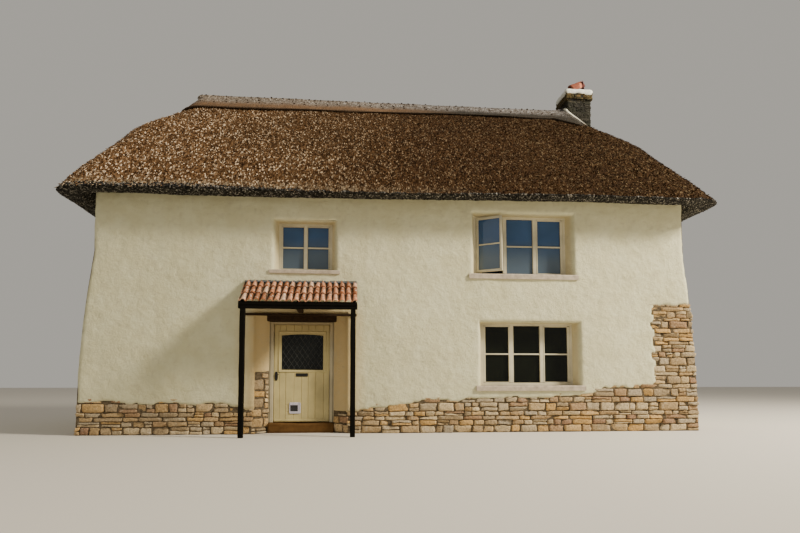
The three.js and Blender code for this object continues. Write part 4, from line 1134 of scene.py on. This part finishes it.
def flaunching():
    """The lumpy mortar that crowns the stack, from (out, up) pairs."""
    low, high = box_of("chimney_cap")
    centre, half = (low[:2] + high[:2]) / 2, (high[:2] - low[:2]) / 2
    profile = [(-0.02, -0.075), (0.008, -0.065), (0.020, -0.04), (0.022, -0.005), (0.016, 0.015), (-0.004, 0.032),
               (-0.04, 0.048), (-0.09, 0.070), (-0.15, 0.100), (-0.21, 0.130), (-0.28, 0.145), (-0.326, 0.148)]
    base = np.array([[(*(centre + point), low[2] + rise) for point in rounded_rectangle(
        half[0] + out, half[1] + out, min(0.06, (half[0] + out) * 0.6))] for out, rise in profile])
    droop = 0.045 * noise(base * np.array([1, 1, 0]), 0.13, 51) - 0.022
    base[..., 2] += droop * (np.array([rise for _, rise in profile]) < -0.03)[:, None]
    lumps = 0.010 * noise(base, 0.12, 52) + 0.006 * noise(base, 0.04, 53)
    base += ring_normals(base) * lumps[..., None]
    piece("flaunching", base, [grid_faces(*base.shape[:2], closed=True)], FLAUNCHING, "mortar",
          replaces="chimney_cap")


def chimney_fillet():
    """The bed of pale mortar between the chimney and the thatch."""
    left, right = STACK["left"] - 0.01, STACK["right"] - 0.03
    front, back = STACK["front"] - 0.01, STACK["back"] + 0.01
    path, steps = [(right, front), (left, front), (left, back), (right, back)], 26
    marks = np.array([(x0 + (x1 - x0) * i / steps, y0 + (y1 - y0) * i / steps)
                      for (x0, y0), (x1, y1) in zip(path, path[1:]) for i in range(steps)] + [path[-1]])
    away = np.column_stack([-1.0 * (marks[:, 0] < left + 0.02),
                            1.0 * (marks[:, 1] > back - 0.02) - (marks[:, 1] < front + 0.02)])
    away /= np.linalg.norm(away, axis=1, keepdims=True)
    line = fillet_line(marks[:, 0])
    heights = np.array([roof_height(*mark) for mark in marks + 0.09 * away]) + settled(marks)
    heights = np.where(np.abs(away[:, 1]) > 0.9, line, np.maximum(heights, line) + 0.02)
    section = np.array([(0.055, -0.060), (0.060, -0.030), (0.050, -0.005), (0.030, 0.010), (0.010, 0.020),
                        (-0.030, 0.025), (-0.05, 0.0)])
    sized = section * np.interp(marks[:, 0], (4.20, 4.87), (0.85, 0.45))[:, None, None]
    rows = np.concatenate([marks[:, None] + away[:, None] * sized[..., :1],
                           heights[:, None, None] + sized[..., 1:]], axis=-1)
    rows[..., 2] += 0.010 * noise(rows * np.array([1, 1, 0]), 0.13, 54)
    rows[..., :2] += away[:, None] * (0.010 * noise(rows, 0.1, 55))[..., None]
    rows[..., 0] = np.minimum(rows[..., 0], STACK["right"] + 0.004)
    piece("chimney_fillet", rows, [grid_faces(*rows.shape[:2])], FILLET_MORTAR, "mortar")


def hood():
    """Two old ridge tiles over the flue: one lies with deep sides, and one stands steeply against its head."""
    low, high = box_of("chimney_hood")
    wide, middle = (high[1] - low[1]) / 2 - 0.010, (low[1] + high[1]) / 2
    points, faces = [], []
    angles = np.radians(np.linspace(0, 180, 17))
    # Each tile's crest runs from its foot to its head, and its sides curve down from there
    for foot, head, rise in (
        ((low[0] + 0.004, middle, high[2] - 0.150), (high[0] - 0.080, middle, high[2] - 0.026), 0.200),
        ((high[0] - 0.002, middle, high[2] - 0.250), (high[0] - 0.030, middle, high[2] - 0.065), 0.045),
    ):
        foot, head = np.array(foot), np.array(head)
        out = np.cross((head - foot) / np.linalg.norm(head - foot), (0, 1, 0))
        out = out if out[2] > 0 else -out
        skins = []
        for thick in (0, 0.015):
            side = np.cos(angles)[:, None] * np.array([0, wide - thick, 0])
            fall = (np.sin(angles) * (rise - thick) - rise)[:, None] * out
            skins.append(np.array([foot + (head - foot) * share + side + fall for share in np.linspace(0, 1, 9)]))
        loop = np.concatenate([skins[0], skins[1][:, ::-1]], axis=1)
        loop += (0.004 * noise(loop, 0.06, 56))[..., None] * out
        faces.append(tile_faces(*loop.shape[:2], sum(map(len, points))))
        points.append(loop.reshape(-1, 3))
        rng.uniform()  # not used: it keeps the later draws as they were
    points = np.clip(np.concatenate(points), low - (0, 0, 0.08), high - 0.001)
    piece("hood_tiles", points, faces, HOOD_CLAY, "terracotta", replaces="chimney_hood", outward=True)


# Windows

def window(node, lights, sill=None, open_light=None, back=False, sash=(0.050, 0.027)):
    """A wooden window of a few lights, each with a glazing bar; sash gives its outer and inner stiles' width."""
    low, high = box_of(node)
    glass_node = node.replace("frame", "glass")
    flip, front, deep = (-1, high[1], low[1]) if back else (1, low[1], high[1])
    width = (high[0] - low[0] - 2 * BORDER - (lights - 1) * MULLION) / lights
    glass_depth = abs(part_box(glass_node)[1 if back else 0].y - front)

    def bar(x0, x1, z0, z1, setback=0.0, thick=None):
        y0 = front + flip * setback
        return (x0, y0, z0), (x1, deep if thick is None else y0 + flip * thick, z1)

    inner_left, inner_right, tuck = low[0] + BORDER, high[0] - BORDER, 0.004
    bars = [bar(low[0], inner_left, low[2], high[2]), bar(inner_right, high[0], low[2], high[2]),
            bar(inner_left - tuck, inner_right + tuck, high[2] - BORDER, high[2], 0.002),
            bar(inner_left - tuck, inner_right + tuck, low[2], low[2] + RAIL, 0.001)]
    beads = []
    bottom, top = low[2] + RAIL, high[2] - BORDER
    middle = (bottom + top) / 2
    for light in range(lights):
        left = low[0] + BORDER + light * (width + MULLION)
        right = left + width
        if light:
            bars.append(bar(left - MULLION, left, low[2] + BORDER - tuck, high[2] - BORDER + tuck, 0.008))
        if light == open_light:
            continue
        fixed = lights == 3 and light == 1
        outer, inner = (0.008, 0.008) if fixed else sash
        head, setback = (0.008, 0.010) if fixed else (0.027, 0.004)
        near, far = outer if light == 0 else inner, outer if light == lights - 1 else inner
        thick = glass_depth - setback - 0.004
        for x0, x1, z0, z1 in ((left, left + near, bottom, top), (right - far, right, bottom, top),
                               (left, right, bottom, bottom + head * 0.8), (left, right, top - head, top)):
            beads.append(bar(x0 + 0.002, x1 - 0.002, z0 + 0.002, z1 - 0.002, setback, thick))
        beads.append(bar(left, right, middle - 0.014, middle + 0.014, setback + 0.004, thick - 0.004))
    piece(node.replace("_window_frame", "_joinery"), *bars_shape(bars + beads, 0.004), PAINT, "cream_paint",
          replaces=node, smooth=False)
    finish_node(glass_node, GLASS if "upper" in node else DARK_GLASS)
    if sill:
        stone_sill(sill)


def stone_sill(node):
    """A worn sill, a little hollow and with soft edges."""
    low, high = box_of(node)
    section = np.array([(0, 0.0), (0, 0.35), (0, 0.8), (0.02, 0.93), (0.06, 1.0), (0.3, 1.0), (0.6, 1.0),
                        (1.0, 1.0), (1.0, 0.5), (1.0, 0.0), (0.5, 0.0), (0.06, 0.0), (0.02, 0.03)])
    x = lines(low[0], high[0], 0.02)[:, None]
    taper = np.minimum(1, (np.minimum(x - low[0], high[0] - x) + 0.001) / 0.012)
    out, up = section.T
    points = np.stack(np.broadcast_arrays(x, low[1] + (high[1] - low[1]) * out, low[2] + (high[2] - low[2]) * (
        0.5 + (up - 0.5) * (0.9 + 0.1 * taper))), axis=-1)
    points[..., 2] -= 0.006 * (0.5 + 0.5 * noise(points, 0.18, 61)) * (points[..., 2] > (low[2] + high[2]) / 2)
    points[..., 1] += 0.006 * (0.5 + 0.5 * noise(points, 0.10, 62)) * (points[..., 1] < low[1] + 0.1)
    piece(node.replace("sill", "stone_sill"), points, tube_faces(len(x), len(section)), SILL, "sill_stone",
          replaces=node, smooth=False, outward=True)


def casement():
    """The open light, with its bars turned about the hinge side."""
    low, high = box_of("upper_right_window_frame")
    box_low, box_high = box_of("open_casement")
    width = (high[0] - low[0] - 2 * BORDER - 2 * MULLION) / 3
    hinge = np.array([low[0] + BORDER, low[1], 0])
    left, right = hinge[0] + 0.004, hinge[0] + width - 0.006
    bottom, top, front, deep = box_low[2] + 0.001, box_high[2] - 0.001, low[1] - 0.0015, low[1] + 0.0385
    border, middle = CASEMENT["border"], (bottom + top) / 2
    inner_left, inner_right = left + border - 0.003, right - border + 0.003
    bars = [((left, front, bottom), (left + border, deep, top)),
            ((right - border, front, bottom), (right, deep, top)),
            *(((inner_left, front + 0.001, z), (inner_right, deep - 0.001, z + border))
              for z in (bottom, top - border)),
            ((inner_left, front + 0.006, middle - 0.014), (inner_right, deep - 0.022, middle + 0.014))]
    points, faces = bars_shape(bars, 0.004)
    c, s = math.cos(math.radians(CASEMENT["turn"])), math.sin(math.radians(CASEMENT["turn"]))
    points = (points - hinge) @ np.array([[c, s, 0], [-s, c, 0], [0, 0, 1]]) + hinge
    shift = (box_low + box_high) / 2 - (points.min(axis=0) + points.max(axis=0)) / 2
    piece("casement_joinery", points + shift * (1, 1, 0), faces, PAINT, "cream_paint", replaces="open_casement",
          smooth=False)
    finish_node("open_casement_glass", GLASS)


def build_windows():
    window("upper_left_window_frame", 2, "upper_left_sill", sash=(0.027, 0.007))
    window("upper_right_window_frame", 3, "upper_right_sill", open_light=0)
    window("lower_right_window_frame", 3, "lower_right_sill")
    window("back_upper_window_frame", 3, back=True)
    window("back_lower_window_frame", 3, back=True)
    casement()


# Door

def build_door():
    low, high = box_of("door_leaf")
    glass_low, glass_high = box_of("door_glass")
    left, bottom = glass_low[0] + PANE_LAP, glass_low[2] + PANE_LAP
    right, top = glass_high[0] - PANE_LAP, glass_high[2] - PANE_LAP
    flap_low, flap_high = box_of("cat_flap")
    grow = FLAP_GAP + SLEEVE
    opening = (flap_low[0] - grow, flap_high[0] + grow, flap_low[2] - grow, flap_high[2] + grow)
    bars = []
    for start, end in zip(PLANKS, PLANKS[1:]):
        x0, x1 = low[0] + start + PLANK_GAP, low[0] + end - PLANK_GAP
        front = low[1] + rng.uniform(0, 0.0015)
        spans = [(low[2], high[2])]
        if x1 > left and x0 < right:
            spans = [(low[2], bottom - 0.01), (top + 0.005, high[2])]
        for z0, z1 in spans:
            if x1 > opening[0] and x0 < opening[1] and z0 < opening[2] < z1:
                parts = [(x0, x1, z0, opening[2]), (x0, x1, opening[3], z1)]
                if x0 < opening[0]:
                    parts.append((x0, opening[0], *opening[2:]))
                if x1 > opening[1]:
                    parts.append((opening[1], x1, *opening[2:]))
            else:
                parts = [(x0, x1, z0, z1)]
            bars += [((a, front, b), (c, high[1], d)) for a, c, b, d in parts]
    # Stiles beside the glass, where a plank is cut by it
    bars += [((x0, low[1] + 0.001, bottom - 0.02), (x1, high[1], top + 0.02))
             for x0, x1 in ((low[0] + PLANK_GAP, left + 0.004), (right - 0.004, high[0] - PLANK_GAP))]
    door = {"slot": "cream_paint", "body": "door"}
    piece("door_planks", *bars_shape(bars, 0.005), DOOR_PAINT_IN_SHADE, **door, replaces="door_leaf", smooth=False)

    rise, half = 0.025, np.linspace(1, -1, 15)
    rows = []
    # The moulding's section: how far outside the glass, how far out of the leaf, and whether its head is arched
    for grow, out, arch in ((0.055, -0.004, 0), (0.055, 0.005, 0), (0.048, 0.010, 0), (0.036, 0.011, 0),
                            (0.028, 0.005, 0), (0.012, 0.003, 1), (0.005, 0.006, 1), (0.0, 0.004, 1),
                            (-0.004, -0.006, 1), (-0.004, -0.016, 1)):
        x0, x1, z0, z1 = left - grow, right + grow, bottom - grow * 0.8, top - rise * arch + grow
        head = [((x0 + x1) / 2 + (x1 - x0) / 2 * share, z1 + rise * arch * (1 - share ** 2)) for share in half]
        rows.append((np.array([(x0, z0), (x1, z0), *head]), low[1] - out))
    points = upright(rows)
    piece("glass_moulding", points, [grid_faces(*points.shape[:2], closed=True)], DOOR_PAINT_IN_SHADE, **door, outward=True)
    leads(left, right, bottom, top, glass_low[1] - 0.001)
    # Near-black door glass: painted shade of the room behind
    finish_node("door_glass", window_glass("door_glass", (0.008, 0.009, 0.008), 0.25))

    weather = [((low[0] + 0.01, low[1] - 0.018, low[2] + 0.008), (high[0] - 0.03, low[1] + 0.002, low[2] + 0.05))]
    piece("weatherboard", *bars_shape(weather, 0.010), DOOR_PAINT_IN_SHADE, **door, smooth=False)
    letter_plate()
    latch(low[1])
    cat_flap(opening, low[1], high[1])


def leads(left, right, bottom, top, y):
    """Lead strips in a lattice of diamonds over the door's glass."""
    slope = LEADS["z"] / LEADS["x"]
    points, quads = [], []
    reach = int((right - left + (top - bottom) / slope) / LEADS["x"]) + 2
    front = np.array([0, -LEADS["out"], 0])
    for sign, number in itertools.product((1, -1), range(-reach, reach)):
        base = left + number * LEADS["x"]
        z0, z1 = (bottom + sign * slope * (x - base) + (0 if sign > 0 else top - bottom) for x in (left, right))
        # The part of the line that lies over the glass
        shares = sorted(((bottom - z0) / (z1 - z0), (top - z0) / (z1 - z0)))
        start, end = max(0, shares[0]), min(1, shares[1])
        if end - start < 0.01:
            continue
        across = np.array([slope * sign, 0, -1]) / math.hypot(1, slope) * LEADS["width"]
        first = len(points)
        for share in (start, end):
            place = np.array([left + (right - left) * share, y, z0 + (z1 - z0) * share])
            points += [place + across, place + front + across * 0.4, place + front - across * 0.4, place - across]
        quads += [(first + i, first + (i + 1) % 4, first + (i + 1) % 4 + 4, first + i + 4) for i in range(4)]
    piece("door_leads", np.array(points), [np.array(quads)], LEAD_STRIP, "black_iron", body="door", smooth=False,
          outward=True)


def letter_plate():
    low, high = box_of("letter_plate")
    middle, half = (low + high) / 2, (high - low) / 2
    bars = [((low[0], low[1] + 0.003, low[2]), (high[0], high[1], high[2])),
            ((low[0] + 0.030, low[1], low[2] + 0.012), (high[0] - 0.030, low[1] + 0.005, high[2] - 0.010)),
            ((low[0] + 0.030, low[1] - 0.001, high[2] - 0.014), (high[0] - 0.030, low[1] + 0.004, high[2] - 0.007))]
    for x in (low[0] + 0.014, high[0] - 0.014):
        bars.append(((x - 0.005, low[1] + 0.0005, middle[2] - 0.005),
                     (x + 0.005, low[1] + 0.004, middle[2] + 0.005)))
    bars.append(((middle[0] - half[0] * 0.2, low[1] - 0.003, middle[2] - 0.010),
                 (middle[0] + half[0] * 0.2, low[1] + 0.002, middle[2] - 0.004)))
    piece("letter_box", *bars_shape(bars, 0.002), IRON, "black_iron", body="door", replaces="letter_plate",
          smooth=False)


def lathe(profile, start, axis, count=20):
    """The points of a turned shape: (radius, along) pairs round an axis line."""
    axis = np.array(axis, float)
    side = np.cross(axis, (0.3, 0.2, 0.9))
    side /= np.linalg.norm(side)
    angles = np.linspace(0, 2 * math.pi, count, endpoint=False)
    ring = np.cos(angles)[:, None] * side + np.sin(angles)[:, None] * np.cross(axis, side)
    return np.array([np.array(start) + axis * along + radius * ring for radius, along in profile])


def latch(face):
    """An oval back plate with a lever on a turned rose and a keyhole below."""
    low, high = box_of("door_latch")
    x, z, half_z = low[0] + 0.030, (low[2] + high[2]) / 2, (high[2] - low[2]) / 2
    angles = np.linspace(0, 2 * math.pi, 40, endpoint=False)
    wide, tall = (np.sign(f(angles)) * np.abs(f(angles)) ** power for f, power in ((np.cos, 0.7), (np.sin, 0.8)))
    plate = upright([(np.column_stack([x + 0.030 * grow * wide, z + half_z * grow * tall]), face - out)
                     for grow, out in ((1.0, 0.0), (1.0, 0.005), (0.93, 0.009), (0.80, 0.010), (0.4, 0.010),
                                       (0.02, 0.010))])
    lever_z, reach, length = low[2] + 0.121, face - low[1], high[0] - x
    neck = [(0.015, 0.008), (0.016, 0.014), (0.011, 0.018), (0.008, 0.024), (0.008, reach - 0.012),
            (0.010, reach - 0.006), (0.008, reach - 0.001), (0.001, reach)]
    lever = [(0.001, -0.010), (0.008, -0.008), (0.0085, 0.02), (0.006, 0.06), (0.008, length - 0.006),
             (0.001, length - 0.001)]
    keyhole = [(0.009, 0.008), (0.009, 0.013), (0.006, 0.014), (0.001, 0.011)]
    shapes = [plate, lathe(neck, (x, face, lever_z), (0, -1, 0)),
              lathe(lever, (x, face - reach + 0.009, lever_z), (1, 0, 0)),
              lathe(keyhole, (x, face, z - 0.045), (0, -1, 0))]
    starts = np.cumsum([0] + [shape[..., 0].size for shape in shapes])
    faces = [grid_faces(*shape.shape[:2], closed=True, first=first) for shape, first in zip(shapes, starts)]
    piece("latch", np.concatenate([shape.reshape(-1, 3) for shape in shapes]), faces, IRON, "black_iron",
          body="door", replaces="door_latch", outward=True)


def cat_flap(opening, face, back_face):
    """The moulded frame of the cat flap and its clear flap with a rim."""
    low, high = box_of("cat_door_frame")
    left, right, bottom, top = opening
    hole = rounded_loop(left + SLEEVE, right - SLEEVE, bottom + SLEEVE, top - SLEEVE, 0.004)
    lip = hole + np.sign(hole - hole.mean(axis=0)) * 0.003
    inside = rounded_loop(*opening, 0.004)
    outer, soft = (rounded_loop(low[0] + inset, high[0] - inset, low[2] + inset, high[2] - inset, 0.028 - inset)
                   for inset in (0, 0.006))
    points = upright([(hole, high[1] - 0.001), (hole, low[1] + 0.004), (lip, low[1]), (soft, low[1]),
                      (outer, low[1] + 0.007), (outer, face), (inside, face), (inside, back_face),
                      (outer, back_face), (outer, high[1] - 0.004), (soft, high[1] - 0.001)])
    rows, columns = points.shape[:2]
    faces = grid_faces(rows + 1, columns, closed=True) % (rows * columns)
    piece("cat_flap_frame", points, [faces], PLASTIC, "flap_plastic", body="door", replaces="cat_door_frame",
          smooth=False, outward=True)

    # The flap's near-black panel is painted shade seen through it
    low, high = box_of("cat_flap")
    outer = rounded_loop(low[0], high[0], low[2], high[2], 0.006)
    inner = rounded_loop(low[0] + 0.008, high[0] - 0.008, low[2] + 0.008, high[2] - 0.008, 0.004)
    core = outer * 0.02 + inner.mean(axis=0) * 0.98
    front, back = low[1], high[1]
    points = upright([(core, front + 0.0015), (inner, front + 0.0015), (inner, front), (outer, front),
                      (outer, back), (inner, back), (inner, back - 0.0015), (core, back - 0.0015)])
    piece("flap_panel", points, [grid_faces(*points.shape[:2], closed=True)], FLAP_SHADE, "flap_panel",
          body="cat_flap", replaces="cat_flap", smooth=False, outward=True)


# Doorway and porch

def timber(name, node, chamfer, wobble, material=TIMBER):
    """An old hand-cut timber in place of a CAD box: chamfered and a little crooked."""
    low, high = box_of(node)
    axis = int(np.argmax(high - low))
    b, c = [a for a in range(3) if a != axis]
    marks = lines(low[axis], high[axis], 0.08)
    middle, half = (low + high) / 2, (high - low) / 2
    cut = min(chamfer, half[b] * 0.4, half[c] * 0.4)
    section = []
    for sb, sc in ((1, 1), (-1, 1), (-1, -1), (1, -1)):
        section += [(sb * half[b], sc * (half[c] - cut)), (sb * (half[b] - cut), sc * half[c])][::sb * sc]
    section = np.array(section)
    points = np.zeros((len(marks), len(section), 3))
    points[..., axis] = marks[:, None]
    points[..., b] = middle[b] + section[None, :, 0]
    points[..., c] = middle[c] + section[None, :, 1]
    dent = wobble * (0.5 + 0.5 * noise(points, 0.22, 71)) + wobble * 0.4 * (0.5 + 0.5 * noise(points, 0.06, 72))
    points[..., b] -= np.sign(section[None, :, 0]) * dent
    points[..., c] -= np.sign(section[None, :, 1]) * dent
    ends = [0, -1]
    points[ends, :, b] = middle[b] + (points[ends, :, b] - middle[b]) * 0.94
    piece(name, points, tube_faces(*points.shape[:2]), material, "dark_timber", replaces=node, smooth=False,
          outward=True)


def build_doorway():
    """The frame round the door, the black lintel and the worn threshold."""
    low, high = box_of("door_frame")
    jamb, head, deep = 0.085, high[2] - 0.045, low[1] + 0.09
    bars = [((low[0], low[1], low[2]), (low[0] + jamb, deep, high[2])),
            ((high[0] - jamb, low[1], low[2]), (high[0], deep, high[2])),
            ((low[0] + jamb - 0.003, low[1] + 0.002, head), (high[0] - jamb + 0.003, deep, high[2])),
            ((low[0] + 0.012, low[1], low[2]), (low[0] + 0.030, low[1] + 0.02, high[2] - 0.004)),
            ((high[0] - 0.030, low[1], low[2]), (high[0] - 0.012, low[1] + 0.02, high[2] - 0.004))]
    piece("door_casing", *bars_shape(bars, 0.005), FRAME_PAINT_IN_SHADE, "cream_paint", replaces="door_frame", smooth=False)
    timber("oak_lintel", "door_lintel", 0.012, 0.009)
    worn_threshold()


def worn_threshold():
    """A threshold stone hollowed by feet."""
    low, high = box_of("door_threshold")
    xs, ys = lines(low[0], high[0], 0.03), lines(low[1], high[1], 0.03)
    x, y = np.meshgrid(xs, ys)
    dip = 0.022 * np.exp(-((x - (low[0] + high[0]) / 2) / 0.33) ** 2) * smoothstep(low[1] + 0.30, low[1], y)
    edge = np.minimum.reduce([x - low[0], high[0] - x, y - low[1], high[1] - y])
    soft = 0.014 * (1 - np.clip(edge / 0.03, 0, 1)) ** 2
    rough = 0.003 * (1 + noise(np.stack([x, y, 0 * x], axis=-1), 0.07, 81))
    top = np.stack([x, y, high[2] - dip - soft - rough], axis=-1).reshape(-1, 3)
    index = np.arange(len(top)).reshape(x.shape)
    rim = np.concatenate([index[0], index[1:, -1], index[-1, -2::-1], index[-2:0:-1, 0]])
    points, faces = [top], [grid_faces(len(ys), len(xs))]
    last, first = rim, len(top)
    for share in (0.15, 0.4, 0.7, 1.0):
        ring = top[rim].copy()
        ring[:, 2] = ring[:, 2] * (1 - share) + low[2] * share
        ring[:, 1] += (0.006 + 0.006 * noise(ring, 0.09, 82)) * (ring[:, 1] < low[1] + 0.001)
        points.append(ring)
        following = np.arange(len(rim)) + first
        faces.append(np.stack([last, np.roll(last, -1), np.roll(following, -1), following], axis=-1))
        last, first = following, first + len(rim)
    piece("worn_threshold", np.concatenate(points), [*faces, last[None, ::-1]], THRESHOLD, "stone",
          replaces="door_threshold", outward=True)


def build_porch():
    timber("oak_post_left", "porch_post_left", 0.010, 0.006, TARRED)
    timber("oak_post_right", "porch_post_right", 0.010, 0.006, TARRED)
    timber("oak_beam", "porch_front_beam", 0.008, 0.005, TARRED)
    timber("oak_plate", "porch_wall_plate", 0.006, 0.004)
    timber("oak_tie", "porch_tie", 0.008, 0.005)
    timber("oak_ledger", "porch_ledger", 0.006, 0.004)
    for side in ("left", "middle", "right"):
        finish_node("porch_rafter_" + side, TIMBER)
    low, high = box_of("porch_tiles")
    front, back = np.array([low[1], low[2] + 0.035]), np.array([high[1], high[2] - 0.002])
    run = np.linalg.norm(back - front)
    ahead = (back - front) / run
    out = np.array([-ahead[1], ahead[0]])
    out = out if out[1] > 0 else -out
    pitch = (high[0] - low[0] - 0.03) / TILES

    def on_plane(x, s, h):
        """Points s up the porch's roof from its front edge, and h out of its plane."""
        return np.stack(np.broadcast_arrays(x, front[0] + ahead[0] * s + out[0] * h,
                                            front[1] + ahead[1] * s + out[1] * h), axis=-1)

    roll_tiles(low, high, run, pitch, out, on_plane)
    flashing(low, high, run, pitch, on_plane)
    # A thin strip of black timber closes the roll tiles' lower ends
    low, high = box_of("porch_front_beam")
    bars = [((low[0] + 0.004, low[1] - 0.010, high[2] - 0.040), (high[0] - 0.004, low[1] + 0.030, high[2] + 0.026))]
    piece("tilting_fillet", *bars_shape(bars, 0.005), TARRED, "dark_timber", smooth=False)


def roll_tiles(low, high, run, pitch, out, on_plane):
    """Three courses of old clay roll tiles, each tile a little out of line with the next."""
    gauge = (run - 0.03) / TILE_COURSES
    across, along = np.linspace(0, 1, 17), np.linspace(0, 1, 7)[:, None]
    # A narrow pan beside a broad roll
    roll = np.clip(np.sin(np.pi * (across - PAN) / (1 - PAN)), 0, 1) ** 0.65
    wave = np.where(across > PAN, 0.030 * roll, -0.008 * np.sin(np.pi * across / PAN))
    # raised is low in the pans and under the lap of the course above, where the tile look paints shade
    raised = wave[None] / wave.max() * 0.6 + 0.55 * (1 - along) ** 1.5
    raised = np.concatenate([raised, raised[:, ::-1]], axis=1).ravel()
    points, faces, tints = [], [], []
    for course, number in itertools.product(range(TILE_COURSES), range(TILES)):
        start = 0.004 + course * gauge + rng.uniform(-0.010, 0.010)
        length = gauge + TILE_LAP if course < TILE_COURSES - 1 else gauge
        shift, twist = rng.uniform(-0.004, 0.004), rng.normal(0, 0.006)
        lift = rng.uniform(0, 0.006)
        x = low[0] + 0.015 + (number + across * 1.04) * pitch + shift + twist * along
        grid = np.array([on_plane(x, start + along * length, wave * (1 + 0.05 * rng.random())
                                  + 0.030 * (1 - along) + lift + thick - 0.034) for thick in (0.013, 0.0)])
        # The lower edge is chipped and the surface uneven
        grid += (0.003 * noise(grid, 0.05, 91))[..., None] * np.array([0, *out])
        loop = np.concatenate([grid[0], grid[1][:, ::-1]], axis=1)
        faces.append(tile_faces(*loop.shape[:2], sum(map(len, points))))
        points.append(loop.reshape(-1, 3))
        tints.append(np.full(len(points[-1]), rng.random()))
    points = np.clip(np.concatenate(points), low + 0.0005, high - 0.0005)
    piece("roll_tiles", points, faces, TILE, "terracotta", replaces="porch_tiles", smooth=False, outward=True,
          tint=np.concatenate(tints), relief=np.tile(raised, TILES * TILE_COURSES))


def flashing(low, high, run, pitch, on_plane):
    """Lead dressed over the top course and up the wall."""
    xs = lines(low[0] + 0.012, high[0] - 0.012, 0.008)
    rise = 0.010 * np.sin(np.pi * np.clip(((xs - low[0] - 0.015) / pitch) % 1 - 0.58, 0, 1) / 0.42)
    rows = [on_plane(xs, run - back, h + rise)
            for back, h in ((0.115, 0.006), (0.115, 0.012), (0.09, 0.013), (0.05, 0.010), (0.028, 0.004))]
    for up in (0.0, 0.006):
        rows.append(np.column_stack([xs, np.full(len(xs), high[1] - 0.030 + up),
                                     np.full(len(xs), high[2] - 0.004 - up * 0.3)]))
    points = np.array(rows)
    points[..., 2] += 0.003 * noise(points, 0.15, 95)
    points = np.clip(points, low + 0.0005, high - 0.0005)
    under = points[::-1] - (0, 0, 0.003)
    loop = np.concatenate([points, under], axis=0).transpose(1, 0, 2)
    piece("lead_flashing", loop, tube_faces(*loop.shape[:2]), LEAD, "black_iron", outward=True)


# Stage, light and camera

def add(name, data):
    made = bpy.data.objects.new(name, data)
    bpy.context.scene.collection.objects.link(made)
    return made


def build_stage():
    floor = bpy.data.meshes.new("ground")
    floor.from_pydata([(-60, -60, 0), (60, -60, 0), (60, 60, 0), (-60, 60, 0)], [], [(0, 1, 2, 3)])
    floor.materials.append(Look("studio_floor", (0.64, 0.60, 0.53), 0.95).material)
    add("ground", floor)
    world = bpy.data.worlds.new("studio")
    world.use_nodes = True
    background = world.node_tree.nodes["Background"]
    background.inputs["Color"].default_value = (0.93, 0.885, 0.80, 1)
    background.inputs["Strength"].default_value = 0.46
    bpy.context.scene.world = world
    for name, place, size, power, colour in (
        ("key", (17.5, -10.5, 15.0), 4.0, 9800, (1.0, 0.92, 0.775)),
        ("fill", (-14.0, -16.0, 9.0), 12.0, 250, (1.0, 0.95, 0.88)),
    ):
        lamp = bpy.data.lights.new(name, "AREA")
        lamp.size, lamp.energy, lamp.color = size, power, colour
        made = add(name, lamp)
        made.location = place
        made.rotation_euler = (Vector((0, 0, 3)) - Vector(place)).to_track_quat("-Z", "Y").to_euler()


def build_camera():
    lens = bpy.data.cameras.new("photo_view")
    lens.sensor_width, lens.lens, lens.shift_y = 36, 27, CAMERA["shift"]
    camera = add("photo_view", lens)
    camera.location = CAMERA["place"]
    camera.rotation_euler = (math.radians(90 + CAMERA["pitch"]), 0, -math.radians(CAMERA["yaw"]))
    bpy.context.scene.camera = camera


build_walls()
for wall, columns, node, reeds, seed in (
    ("front", 330, "thatch_front", 26000, 52), ("back", 200, "thatch_back", 9000, 51),
    ("left", 110, "thatch_left_hip", 5000, 55), ("right", 110, "thatch_right_hip", 6000, 56),
):
    thatch_piece(wall, columns, node, reeds, seed)
ridge_cap()
for seed, face in enumerate(("front", "right", "back", "left"), 60):
    chimney_stones(face, seed)
finish_node("chimney_stack", mortar("chimney_bed", (0.012, 0.012, 0.010), (0.035, 0.032, 0.027)))
flaunching()
chimney_fillet()
hood()
build_windows()
build_door()
build_doorway()
build_porch()
finish_node("ground_floor", flagstones())
finish_node("upper_floor", floor_boards())
build_stage()
build_camera()
